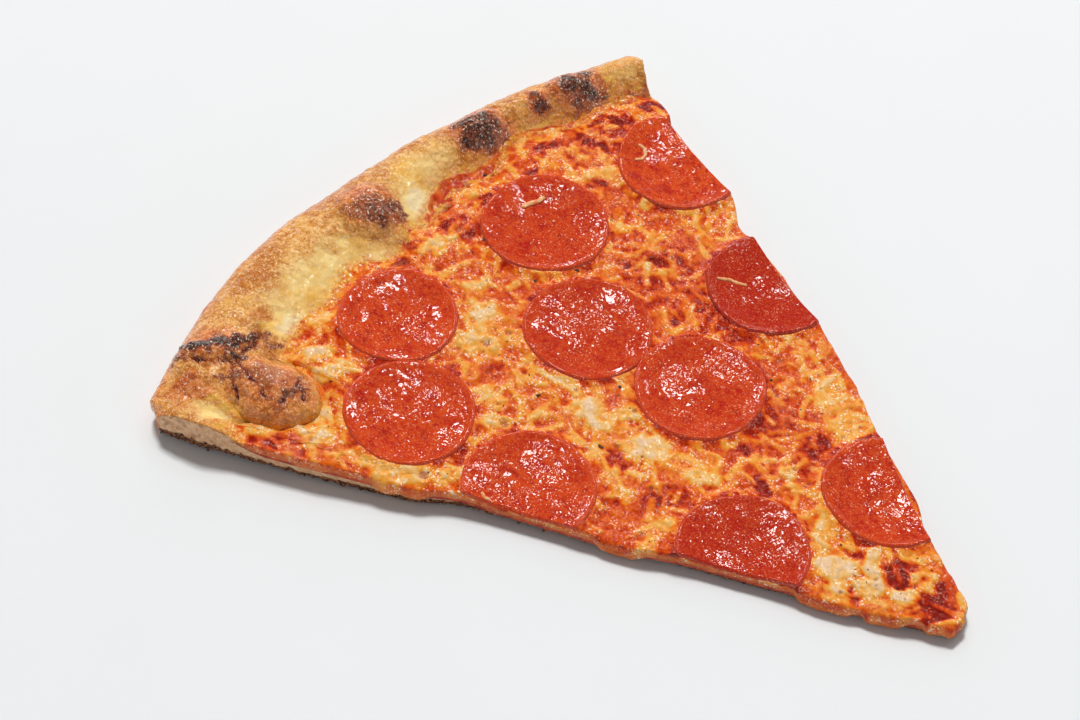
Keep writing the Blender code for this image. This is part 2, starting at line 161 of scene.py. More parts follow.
YELLOW_ZONES = (
    (-190, -20, 22, 14, 30, 1.0), (-152, -22, 26, 12, 20, 1.0), (-118, -20, 22, 9, 25, 1.0),
    (-88, 36, 17, 12, 120, 1.0), (-194, 14, 14, 5, 40, 0.8), (-196, -82, 22, 9, 30, 0.5),
    (-167, 80, 9, 6, 30, 0.7), (-42, 2, 6, 4, 120, 1.0), (-60, -6, 14, 6, 140, 0.7),
)
OILY_ZONES = (
    (-152, 38, 34, 12, 10, 0.9), (-105, 16, 14, 18, 120, 0.8), (-104, -30, 16, 7, 30, 0.4),
    (-222, 74, 20, 16, 60, 0.7), (-178, 44, 14, 9, 30, 0.8), (-85, 18, 12, 9, 120, 0.8),
    (-226, 10, 14, 8, 80, 0.8), (-24, -6, 12, 7, 134, 0.8), (-214, -98, 14, 7, 30, 0.5),
    (-60, -3, 6, 6, 0, 0.3),
)
# Blisters of the cheese: x, y, radius.
BLISTERS = (
    (-186, -22, 2.2), (-191, -30, 1.6), (-160, -42, 2.2), (-164, -75, 2.4), (-114, 40, 2.0),
    (-230, -15, 2.4), (-236, -9, 3.2), (-178, -30, 1.8), (-184, -14, 1.7), (-199, -62, 1.5),
    (-240, 8, 2.4), (-226, 7, 2.0), (-186, 22, 1.2), (-193, 9, 1.3), (-217, 10, 1.6),
)

# The bubble's cracks and the charred places.
CRACKS = (
    ((-239, -72), (-237, -77), (-237, -82), (-235, -87), (-232, -91), (-228, -94), (-224, -95)),
    ((-235, -87), (-230, -87.5), (-225, -89), (-220, -89), (-217, -90)),
    ((-235, -87), (-239, -89), (-241, -94), (-245, -95)),
    ((-222, -69.5), (-217, -75), (-214, -80), (-213, -84), (-213, -88)),
    ((-214, -79), (-210, -81)),
)
CHARRED = (
    (-246, -90, 8, 5, 70, 1.1), (-241, -81, 7, 3.4, 70, 0.9), (-236, -86, 4, 3, 0, 0.8),
    (-232, -93, 5, 3, 60, 0.5), (-213, -81, 3, 4, 0, 0.6),
    (-251, 42, 9, 7, 60, 0.82), (-241, 84, 10, 6, 50, 0.85), (-245, 69, 4, 2.8, 40, 0.75),
    (-253, -12, 7, 5, 60, 0.4), (-248, -7, 6, 5, 60, 0.62), (-234, -71, 5, 3, 60, 0.45),
    (-243, 50, 4, 3, 60, 0.5), (-244.5, -6, 6, 2, 120, 0.35),
)
BROWNED = (
    (-220, -85, 16, 13, 20, 0.62), (-223, -84, 10, 7, 20, 0.9), (-246, -88, 13, 8, 60, 0.6), (-252, -9, 11, 9, 0, 0.7),
    (-250, 44, 13, 11, 30, 0.9), (-240, 83, 14, 9, 30, 0.9), (-246, 68, 6, 5, 30, 0.7),
    (-226, 101, 5, 3, 60, 0.8), (-238, -104, 9, 5, 60, 0.7), (-244, -6, 3, 2.4, 0, 0.6),
    (-234, 95, 6, 3, 60, 0.4), (-248, 20, 3, 12, 0, 0.2), (-248, 44, 17, 14, 30, 0.3),
    (-240, 80, 18, 12, 30, 0.35),
)
# Pale skin: where the rim slopes down to the toppings, and in front of the bubble.
PALE_SKIN = (
    (-241, -36, 10, 26, -8, 1.0), (-236, -60, 6, 9, -10, 1.5), (-244, 10, 7, 12, 0, 1.5),
    (-226, -103, 7, 4.6, 30, 0.85), (-240, 62, 4, 5, 20, 0.7), (-236, 99, 10, 6, 60, 0.5),
    (-251, 14, 12, 15, 0, 0.7), (-257, 14, 9, 13, 0, 0.4), (-252, 27, 7, 5, 0, 0.5),
)
OILY_SKIN = (
    (-224, -99, 12, 4, 20, 0.8), (-238, 101, 9, 6, 60, 0.6), (-243, 60, 6, 9, 10, 0.5),
    (-241, 24, 4, 12, 0, 1.0), (-238, 36, 4, 10, 10, 1.0), (-236, 50, 5, 10, 10, 0.8),
    (-238, -4, 4, 5, 0, 1.0), (-232, 88, 5, 12, 20, 1.0), (-240, -6, 3, 6, 0, 0.8),
    (-219, -106, 7, 3, 30, 0.8), (-228, -30, 3, 18, -8, 0.5), (-236, 72, 3, 6, 0, 0.9),
)


# ---------------------------------------------------------------- numbers and noise


def blend(start, end, value):
    """0 before start, 1 after end, and an eased step between them."""
    share = np.clip((value - start) / (end - start), 0.0, 1.0)
    return share * share * (3.0 - 2.0 * share)


def eased(knots, value):
    """The value of a wavy line that levels out at each of its knots."""
    at = np.array([knot[0] for knot in knots], float)
    level = np.array([knot[1] for knot in knots], float)
    value = np.clip(value, at[0], at[-1])
    index = np.clip(np.searchsorted(at, value) - 1, 0, len(at) - 2)
    share = blend(0.0, 1.0, (value - at[index]) / (at[index + 1] - at[index]))
    return level[index] + share * (level[index + 1] - level[index])


LATTICE = 64
_rng = np.random.default_rng(7)
GRADIENTS = _rng.normal(size=(LATTICE, LATTICE, LATTICE, 3))
GRADIENTS /= np.linalg.norm(GRADIENTS, axis=-1, keepdims=True)
GRADIENTS = np.ascontiguousarray(np.moveaxis(GRADIENTS.reshape(-1, 3), 1, 0))
JITTER = _rng.random((3, LATTICE * LATTICE))


def noise(x, y, z, size, seed):
    """Smooth noise from about -1 to 1, with lumps of that size."""
    cell = []
    part = []
    for value, shift in ((x, 13.37), (y, 7.77), (z, 4.19)):
        value = np.asarray(value, float) / size + shift * (seed + 1)
        whole = np.floor(value)
        cell.append(whole.astype(int))
        part.append(value - whole)
    fade = [share**3 * (share * (share * 6.0 - 15.0) + 10.0) for share in part]
    total = 0.0
    for corner in range(8):
        step = (corner & 1, corner >> 1 & 1, corner >> 2 & 1)
        index = 0
        weight = 1.0
        for axis in range(3):
            index = index * LATTICE + (cell[axis] + step[axis]) % LATTICE
            weight = weight * (fade[axis] if step[axis] else 1.0 - fade[axis])
        dot = sum(GRADIENTS[axis][index] * (part[axis] - step[axis]) for axis in range(3))
        total = total + weight * dot
    return 1.6 * total


def rough(x, y, z, size, seed, octaves=3, gain=0.5):
    """Noise with finer noise on it."""
    total = 0.0
    amount = 1.0
    for octave in range(octaves):
        total = total + amount * noise(x, y, z, size / 2.07**octave, seed + 31 * octave)
        amount *= gain
    return total


def cells(x, y, size, seed):
    """Distance to the nearest and second nearest of scattered points, and the nearest's number."""
    u = np.asarray(x, float) / size + 5.31 * (seed + 1)
    v = np.asarray(y, float) / size + 9.17 * (seed + 1)
    first = np.full(u.shape, 9.0)
    second = np.full(u.shape, 9.0)
    number = np.zeros(u.shape)
    for step_u in (-1, 0, 1):
        for step_v in (-1, 0, 1):
            cell_u = np.floor(u).astype(int) + step_u
            cell_v = np.floor(v).astype(int) + step_v
            index = (cell_u % LATTICE) * LATTICE + cell_v % LATTICE
            away = np.hypot(cell_u + JITTER[0][index] - u, cell_v + JITTER[1][index] - v)
            nearer = away < first
            second = np.where(nearer, first, np.minimum(second, away))
            number = np.where(nearer, JITTER[2][index], number)
            first = np.minimum(first, away)
    return first * size, second * size, number


def patches(x, y, places, ragged=2.0, seed=3, inner=0.55, outer=1.25):
    """The strongest of soft, ragged ovals at each point."""
    warp_x = x + ragged * rough(x, y, 0.0, 6.0, seed)
    warp_y = y + ragged * rough(x, y, 0.0, 6.0, seed + 1)
    total = np.zeros(np.shape(x))
    for centre_x, centre_y, length, width, turn, strength in places:
        cosine, sine = math.cos(math.radians(turn)), math.sin(math.radians(turn))
        along = (warp_x - centre_x) * cosine + (warp_y - centre_y) * sine
        side = (warp_y - centre_y) * cosine - (warp_x - centre_x) * sine
        away = np.hypot(along / length, side / width)
        total = np.maximum(total, strength * (1.0 - blend(inner, outer, away)))
    return total


def line_distance(x, y, line):
    """Distance from each point to a line of places."""
    nearest = np.full(np.shape(x), 99.0)
    for (start_x, start_y), (end_x, end_y) in zip(line, line[1:]):
        along_x, along_y = end_x - start_x, end_y - start_y
        share = (x - start_x) * along_x + (y - start_y) * along_y
        share = np.clip(share / (along_x**2 + along_y**2), 0.0, 1.0)
        away = np.hypot(x - start_x - share * along_x, y - start_y - share * along_y)
        nearest = np.minimum(nearest, away)
    return nearest


# ---------------------------------------------------------------- the slice's plan and heights


def polar(x, y):
    return np.hypot(x, y), np.arctan2(y, -x)


def crust_radius(angle):
    return eased(CRUST_RADIUS, np.degrees(angle))


def plan(run, across):
    """The place at a distance from the pie's centre, from -1 on the front cut to 1 on the back."""
    angle = across * HALF_ANGLE
    front = eased(FRONT_CUT, run) * ((1.0 - across) / 2.0) ** 2
    back = eased(BACK_CUT, run) * ((1.0 + across) / 2.0) ** 2
    x = -run * np.cos(angle) + (front + back) * math.sin(HALF_ANGLE)
    y = run * np.sin(angle) + (back - front) * math.cos(HALF_ANGLE)
    return x, y


def tip_run(across):
    return TIP_RUN + TIP_ROUNDING * across**2


def body_height(run):
    return BODY_HEIGHT + (BODY_HEIGHT_AT_CRUST - BODY_HEIGHT) * blend(120.0, 240.0, run)


def crust_height(x, y):
    run, angle = polar(x, y)
    inset = crust_radius(angle) - run
    width = eased(RIM_WIDTH, np.degrees(angle))
    crest_inset = CREST_SHARE * width
    crest = eased(CREST_HEIGHT, np.degrees(angle))
    body = body_height(run)
    slope = body + (crest - body) * blend(width, crest_inset, inset)
    share = np.clip((crest_inset - inset) / crest_inset, 0.0, 1.0)
    nose = NOSE_HEIGHT + NOSE_WALL
    rounded = nose + (crest - nose) * np.sqrt(np.maximum(1.0 - share**2, 0.0))
    return np.where(inset < crest_inset, rounded, slope)


def bubble_height(x, y):
    total = np.zeros_like(x)
    for centre_x, centre_y, length, width, height, turn in BUBBLES:
        turn = math.radians(turn)
        along = (x - centre_x) * math.cos(turn) + (y - centre_y) * math.sin(turn)
        side = (y - centre_y) * math.cos(turn) - (x - centre_x) * math.sin(turn)
        spread = np.clip((along / length) ** 2 + (side / width) ** 2, 0.0, 1.0)
        total = total + height * (1.0 - spread) ** 0.75
    return total


def dough_top(x, y):
    run, angle = polar(x, y)
    inset = crust_radius(angle) - run
    return crust_height(x, y) + bubble_height(x, y) * blend(0.0, 5.0, inset)


EDGE_ANGLES = np.linspace(-0.7, 0.7, 6001)
RAGGED = {}


def ragged_edge(angle, amount, seed):
    """How far a layer's edge along the crust wanders, in and out."""
    if seed not in RAGGED:
        along = EDGE_ANGLES * 245.0
        RAGGED[seed] = rough(along, 0.0 * along, 0.0, 14.0, seed, 3, 0.5)
    return amount * np.interp(angle, EDGE_ANGLES, RAGGED[seed])


def sauce_reach(angle):
    """Where the sauce ends along the crust: it goes round the big bubble."""
    reach = crust_radius(angle) - eased(SAUCE_INSET, np.degrees(angle))
    share = (np.degrees(angle) - BUBBLE_ANGLE) / BUBBLE_HALF_WIDTH
    round_bubble = BUBBLE_RUN - BUBBLE_REACH * np.sqrt(np.maximum(1.0 - share**2, 0.0))
    reach = np.where(np.abs(share) < 1.0, np.minimum(reach, round_bubble), reach)
    return reach + ragged_edge(angle, 2.0, 81)


def cheese_reach(angle):
    short = eased(CHEESE_SHORT, np.degrees(angle))
    return sauce_reach(angle) - short + ragged_edge(angle, 1.6, 91)


def seat(x, y):
    """1 under a pepperoni, and 0 away from them all."""
    total = np.zeros_like(x)
    for centre_x, centre_y, radius, *_ in PEPPERONI:
        distance = np.hypot(x - centre_x, y - centre_y)
        total = np.maximum(total, 1.0 - blend(radius - 1.0, radius + 5.0, distance))
    return total


def sauce_bottom(x, y):
    return dough_top(x, y) + CLEARANCE


def sauce_top(x, y):
    """The sauce thins out to a film along the crust."""
    run, angle = polar(x, y)
    thinned = blend(-1.0, 10.0, sauce_reach(angle) - run)
    return sauce_bottom(x, y) - 0.15 + (0.15 + SAUCE_THICKNESS) * thinned


def cheese_bottom(x, y):
    return sauce_top(x, y) + 0.5 * CLEARANCE


def cheese_top(x, y):
    run, angle = polar(x, y)
    short = cheese_reach(angle) - run
    lumps = 0.3 * np.sin(x / 7.5 + 0.6) * np.sin(y / 6.5 + 1.9) + 0.15 * np.sin((x + 2 * y) / 9.0)
    pressed = seat(x, y)
    full = CHEESE_THICKNESS + CLEARANCE + lumps * (1.0 - pressed) - SEAT_DEPTH * pressed
    return cheese_bottom(x, y) - 0.1 + (full + 0.1) * blend(-0.5, 9.0, short)


def collar(x, y):
    """1 in a ring round each pepperoni, where cheese and oil rise against it."""
    total = np.zeros_like(x)
    for centre_x, centre_y, radius, *_ in PEPPERONI:
        away = np.hypot(x - centre_x, y - centre_y) - radius
        total = np.maximum(total, blend(-3.0, 0.0, away) * (1.0 - blend(0.5, 3.6, away)))
    return total


def hanging(runs, run):
    depth = np.full_like(run, 0.35)
    for middle, half_width, fall in runs:
        depth = np.maximum(depth, fall * (1.0 - blend(0.35, 1.0, np.abs(run - middle) / half_width)))
    return depth


def frame_place():
    """Where the pie's centre is in the frame, in millimetres."""
    columns = np.linspace(-1.0, 1.0, CAD_COLUMNS + 1)
    crust = plan(crust_radius(columns * HALF_ANGLE), columns)
    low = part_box("dough")[0]
    return low.x / MM - crust[0].min(), low.y / MM - crust[1].min()


PLACE = frame_place()


# ---------------------------------------------------------------- fields over the whole slice


class Field:
    """Numbers on a fine square grid over the slice, read between its points."""

    STEP = 0.3
    LOW = (-276.0, -124.0)
    HIGH = (-4.0, 120.0)

    def __init__(self):
        self.axis_x = np.arange(self.LOW[0], self.HIGH[0], self.STEP)
        self.axis_y = np.arange(self.LOW[1], self.HIGH[1], self.STEP)
        self.x, self.y = np.meshgrid(self.axis_x, self.axis_y, indexing="ij")
        self.named = {}

    def window(self, x, y, reach):
        """The part of the grid within reach of a place."""
        rows = np.searchsorted(self.axis_x, (x - reach, x + reach))
        columns = np.searchsorted(self.axis_y, (y - reach, y + reach))
        return slice(*rows), slice(*columns)

    def read(self, name, x, y):
        values = self.named[name]
        u = np.clip((x - self.LOW[0]) / self.STEP, 0, values.shape[0] - 1.001)
        v = np.clip((y - self.LOW[1]) / self.STEP, 0, values.shape[1] - 1.001)
        row, column = u.astype(int), v.astype(int)
        u, v = u - row, v - column
        return (
            values[row, column] * (1 - u) * (1 - v) + values[row + 1, column] * u * (1 - v)
            + values[row, column + 1] * (1 - u) * v + values[row + 1, column + 1] * u * v
        )


SHRED_COUNT = 1500


def stamp_shreds(field, rng):
    """Half melted shreds of cheese: their height and how far each shows pale."""
    height = np.zeros_like(field.x)
    pale = np.zeros_like(field.x)
    for _ in range(SHRED_COUNT):
        run = math.sqrt(rng.uniform(14.0**2, 250.0**2))
        across = rng.uniform(-1.02, 1.02)
        x, y = plan(np.array(run), np.array(across))
        turn = rng.uniform(0.0, math.pi)
        half = rng.uniform(1.5, 6.5)
        width = rng.uniform(0.8, 1.5)
        bend = rng.uniform(-0.05, 0.05)
        tall = rng.uniform(0.12, 0.5)
        shade = rng.uniform(0.1, 1.0) ** 2.2
        rows, columns = field.window(float(x), float(y), half + 2.0)
        step_x, step_y = field.x[rows, columns] - x, field.y[rows, columns] - y
        along = step_x * math.cos(turn) + step_y * math.sin(turn)
        side = step_y * math.cos(turn) - step_x * math.sin(turn) - bend * along**2
        past = np.maximum(np.abs(along) - half, 0.0)
        inside = np.clip(1.0 - (past**2 + side**2) / width**2, 0.0, 1.0)
        height[rows, columns] = np.maximum(height[rows, columns], tall * np.sqrt(inside))
        pale[rows, columns] = np.maximum(pale[rows, columns], shade * np.sqrt(inside))
    return height, pale


def stamp_blisters(field, rng):
    """Pits where the cheese bubbled: a raised ring round a browned hollow."""
    relief = np.zeros_like(field.x)
    brown = np.zeros_like(field.x)
    places = [(x, y, radius) for x, y, radius in BLISTERS]
    for _ in range(190):
        run = math.sqrt(rng.uniform(20.0**2, 240.0**2))
        x, y = plan(np.array(run), np.array(rng.uniform(-0.97, 0.97)))
        places.append((float(x), float(y), rng.uniform(0.5, 1.5)))
    for x, y, radius in places:
        rows, columns = field.window(x, y, 2.2 * radius)
        away = np.hypot(field.x[rows, columns] - x, field.y[rows, columns] - y) / radius
        ring = np.exp(-(((away - 1.15) / 0.32) ** 2))
        hollow = 1.0 - blend(0.3, 1.1, away)
        relief[rows, columns] += radius * (0.16 * ring - 0.24 * hollow)
        brown[rows, columns] = np.maximum(brown[rows, columns], hollow * min(1.0, radius / 1.4))
    return relief, brown


def make_field():
    field = Field()
    x, y = field.x, field.y
    rng = np.random.default_rng(21)
    shred_height, shred_pale = stamp_shreds(field, rng)
    blister, brown = stamp_blisters(field, rng)
    pressed = seat(x, y)
    curd = patches(x, y, PALE_CURD, 2.4, 3)
    sauce = patches(x, y, BARE_SAUCE, 2.2, 5)
    mottle = rough(x, y, 0.0, 8.0, 11)
    fine = rough(x, y, 0.0, 3.0, 13)
    lumps = rough(x, y, 0.0, 4.5, 15)
    sauce = np.clip(sauce + 0.5 * blend(0.5, 1.1, mottle - 0.4 * fine) * (1.0 - curd), 0.0, 1.0)
    ring = collar(x, y)
    oily = np.maximum(patches(x, y, OILY_ZONES, 5.0, 9), 1.1 * ring * (0.8 + 0.5 * mottle))
    relief = shred_height + blister + 0.30 * rough(x, y, 0.0, 12.0, 17)
    relief = relief + 0.20 * lumps + 0.10 * fine - 0.40 * sauce + 0.35 * curd
    high = (shred_height + 0.20 * lumps + 0.10 * fine - 0.1) / 0.6
    field.named = {
        "relief": relief * (1.0 - 0.9 * pressed) + ring * (1.15 + 0.4 * mottle),
        "curd": np.clip(curd * (0.85 + 0.4 * fine), 0.0, 1.6),
        "shred": shred_pale,
        "high": np.clip(high, -0.6, 1.4),
        "sauce": sauce,
        "brown": brown,
        "yellow": patches(x, y, YELLOW_ZONES, 5.0, 7),
        "oily": oily,
    }
    return field


# ---------------------------------------------------------------- meshes


class Shell:
    """A surface in millimetres in the pie's frame, with named numbers at its vertices."""

    def __init__(self):
        self.places = []
        self.named = []
        self.count = 0
        self.faces = []

    def add(self, x, y, z, **named):
        """Adds vertices and returns their numbers, in the shape of x."""
        x, y, z = np.broadcast_arrays(x, y, z)
        self.places.append(np.stack([x.ravel(), y.ravel(), z.ravel()], axis=1))
        values = {name: np.broadcast_to(value, x.shape).ravel() for name, value in named.items()}
        self.named.append((x.size, values))
        numbers = self.count + np.arange(x.size).reshape(x.shape)
        self.count += x.size
        return numbers

    def grid(self, numbers):
        quads = np.stack(
            [numbers[:-1, :-1], numbers[:-1, 1:], numbers[1:, 1:], numbers[1:, :-1]], axis=-1
        )
        self.faces.extend(quads.reshape(-1, 4).tolist())

    def strip(self, first, second):
        """Quads between two closed lines of as many vertices."""
        quads = np.stack([first, np.roll(first, -1), np.roll(second, -1), second], axis=-1)
        self.faces.extend(quads.tolist())

    def fan(self, centre, ring):
        triangles = np.stack([np.full(len(ring), centre), ring, np.roll(ring, -1)], axis=-1)
        self.faces.extend(triangles.tolist())

    def zipper(self, first, second):
        """Triangles between two open lines of different numbers of vertices."""
        a, b = 0, 0
        last_a, last_b = len(first) - 1, len(second) - 1
        while a < last_a or b < last_b:
            if b == last_b or (a < last_a and (a + 1) / last_a <= (b + 1) / last_b):
                self.faces.append([int(first[a]), int(first[a + 1]), int(second[b])])
                a += 1
            else:
                self.faces.append([int(first[a]), int(second[b + 1]), int(second[b])])
                b += 1

    def place(self):
        return np.concatenate(self.places)

    def value(self, name):
        return np.concatenate(
            [values.get(name, np.zeros(size)) for size, values in self.named]
        ).astype(float)

    def triangles(self):
        made = []
        for face in self.faces:
            made.append(face[:3])
            if len(face) == 4:
                made.append([face[0], face[2], face[3]])
        return np.array(made)

    def normals(self, place):
        """Unit normals at the vertices, pointing up where the first face does."""
        triangles = self.triangles()
        a, b, c = (place[triangles[:, corner]] for corner in range(3))
        flat = np.cross(b - a, c - a)
        total = np.zeros_like(place)
        for corner in range(3):
            for axis in range(3):
                total[:, axis] += np.bincount(
                    triangles[:, corner], flat[:, axis], minlength=len(place)
                )
        return total / np.maximum(np.linalg.norm(total, axis=1, keepdims=True), 1e-12)


def make_object(shell, name, place, named, material):
    """A Blender object from a shell's faces, these places and numbers."""
    data = bpy.data.meshes.new(name)
    at = place * MM
    at[:, 0] += PLACE[0] * MM
    at[:, 1] += PLACE[1] * MM
    data.from_pydata(at.tolist(), [], shell.faces)
    for label, values in named.items():
        layer = data.attributes.new(label, "FLOAT", "POINT")
        layer.data.foreach_set("value", np.asarray(values, np.float32))
    mesh = bmesh.new()
    mesh.from_mesh(data)
    bmesh.ops.recalc_face_normals(mesh, faces=mesh.faces)
    mesh.to_mesh(data)
    mesh.free()
    data.shade_smooth()
    data.materials.append(material)
    made = bpy.data.objects.new(name, data)
    bpy.context.scene.collection.objects.link(made)
    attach(made, "root")
    return made


class Slab:
    """The top of a layer: bands of rows with their own numbers of columns, and its border."""

    def __init__(self, shell, bands, height):
        self.shell = shell
        front, back, runs_front, runs_back = [], [], [], []
        before = None
        for rows, columns in bands:
            x, y = plan(rows, columns[None, :] + 0.0 * rows)
            numbers = shell.add(x, y, height(x, y), top=1.0, run=rows)
            shell.grid(numbers)
            if before is None:
                self.tip = numbers[0]
                tip_rows = rows[0]
                tip_columns = columns
            else:
                shell.zipper(before, numbers[0])
            before = numbers[-1]
            front.append(numbers[:, 0])
            back.append(numbers[:, -1])
            runs_front.append(rows[:, 0])
            runs_back.append(rows[:, -1])
            self.last = (rows[-1], columns, numbers[-1])
        front, back = np.concatenate(front), np.concatenate(back)
        runs_front, runs_back = np.concatenate(runs_front), np.concatenate(runs_back)
        crust_run, crust_columns, crust = self.last
        # The border in order: the tip, the back cut, the crust and the front cut.
        self.ring = np.concatenate([self.tip[:-1], back[:-1], crust[:0:-1], front[:0:-1]])
        self.run = np.concatenate(
            [tip_rows[:-1], runs_back[:-1], crust_run[:0:-1], runs_front[:0:-1]]
        )
        self.across = np.concatenate([
            tip_columns[:-1], np.ones(len(back) - 1),
            crust_columns[:0:-1], -np.ones(len(front) - 1),
        ])
        counts = (len(self.tip) - 1, len(back) - 1, len(crust) - 1, len(front) - 1)
        self.corners = np.concatenate([[0], np.cumsum(counts)])
        index = np.arange(len(self.ring))
        self.at_crust = ((index >= self.corners[2]) & (index <= self.corners[3])).astype(float)
        self.at_tip = (index <= self.corners[1]).astype(float)
        self.on_cut = (np.abs(self.across) > 0.999).astype(float)

    def close(self, ring, run_scale, height, rows=40, columns=16, **named):
        """Closes the shell below with a coarse grid inside its last ring."""
        shell = self.shell
        across = np.linspace(-1.0, 1.0, columns + 1)
        start = TIP_RUN + 6.0
        end = np.interp(across, self.last[1], self.last[0]) - run_scale
        runs = start + (end - start) * np.linspace(0.0, 1.0, rows + 1)[:, None]
        narrow = across[None, :] * (1.0 - np.minimum(0.5, run_scale / (HALF_ANGLE * runs)))
        x, y = plan(runs, narrow)
        numbers = shell.add(x, y, height(x, y), run=runs, **named)
        shell.grid(numbers)
        closed = np.append(ring, ring[0])
        inner = (numbers[0], numbers[:, -1], numbers[-1, ::-1], numbers[::-1, 0])
        for side in range(4):
            shell.zipper(closed[self.corners[side]:self.corners[side + 1] + 1], inner[side])


def outward(x, y):
    """Unit vectors pointing out of a closed line of places."""
    step_x = np.roll(x, -1) - np.roll(x, 1)
    step_y = np.roll(y, -1) - np.roll(y, 1)
    length = np.hypot(step_x, step_y)
    turn = np.sign(np.sum(x * np.roll(y, -1) - y * np.roll(x, -1)))
    return turn * step_y / length, -turn * step_x / length


# ---------------------------------------------------------------- bread


RIM_COLUMNS = 440
RIM_ROWS = 104
CORE_COLUMNS = 24
CORE_ROWS = 380
RIM_REACH = ((-27, 64.0), (-15, 64.0), (-10, 42.0), (0, 42.0), (8, 32.0), (27, 30.0))
WALL_SHARES = np.concatenate([np.linspace(0.05, 0.8, 11), [0.86, 0.91, 0.95, 0.98, 1.0]])


def bread_profile(share, top, lift, at_crust):
    """Inset and height of the ring at a share of the way down the bread's side."""
    crust_inset = UNDERCUT * share**5
    crust_level = (1.0 - share) ** 0.9 * top
    under = np.clip((share - 0.8) / 0.2, 0.0, 1.0)
    cut_inset = 0.55 * UNDERCUT * under**1.6
    cut_level = np.where(share < 0.8, top + (lift + 0.5 - top) * share / 0.8,
                         (lift + 0.5) * (1.0 - under) ** 1.3)
    inset = np.where(at_crust > 0, crust_inset, cut_inset)
    return inset, np.where(at_crust > 0, crust_level, cut_level)


def bread_looks(x, y, z, cut, top):
    """How browned, charred, pale, oily and cracked the bread is at each vertex."""
    run, angle = polar(x, y)
    inset = crust_radius(angle) - run
    drift = rough(x, y, z, 10.0, 41)
    char = patches(x, y, CHARRED, 4.0, 43, 0.5, 1.25)
    brown = patches(x, y, BROWNED, 3.0, 45, 0.3, 1.4)
    outer = 1.0 - blend(1.0, 11.0, inset + 3.0 * drift + (z - 9.0))
    brown = np.maximum(brown, 0.42 * outer)
    pale = patches(x, y, PALE_SKIN, 3.5, 47, 0.3, 1.5) * (1.0 - brown)
    shore = run - sauce_reach(angle) + 2.0 * drift
    oily = np.maximum(patches(x, y, OILY_SKIN, 2.5, 49), 0.8 * (1.0 - blend(0.0, 7.0, shore)))
    crack = np.zeros_like(x)
    nearest = np.full_like(x, 99.0)
    drift_x = 1.1 * noise(x, y, 0.0, 2.6, 51) + 0.5 * noise(x, y, 0.0, 1.1, 53)
    drift_y = 1.1 * noise(x, y, 0.0, 2.6, 52) + 0.5 * noise(x, y, 0.0, 1.1, 54)
    spread = 0.7 * noise(x, y, 0.0, 3.6, 55)
    for line in CRACKS:
        away = line_distance(x + drift_x, y + drift_y, line)
        nearest = np.minimum(nearest, away)
        core = 1.0 - blend(0.1, 0.9, away - 0.7 * spread)
        crack = np.maximum(crack, np.maximum(core, 0.35 * (1.0 - blend(0.6, 2.6, away - 2.0 * spread))))
    puff = np.exp(-(((nearest - 4.2) / 2.6) ** 2))
    return char, brown, pale, oily, crack * (1.0 - cut), puff


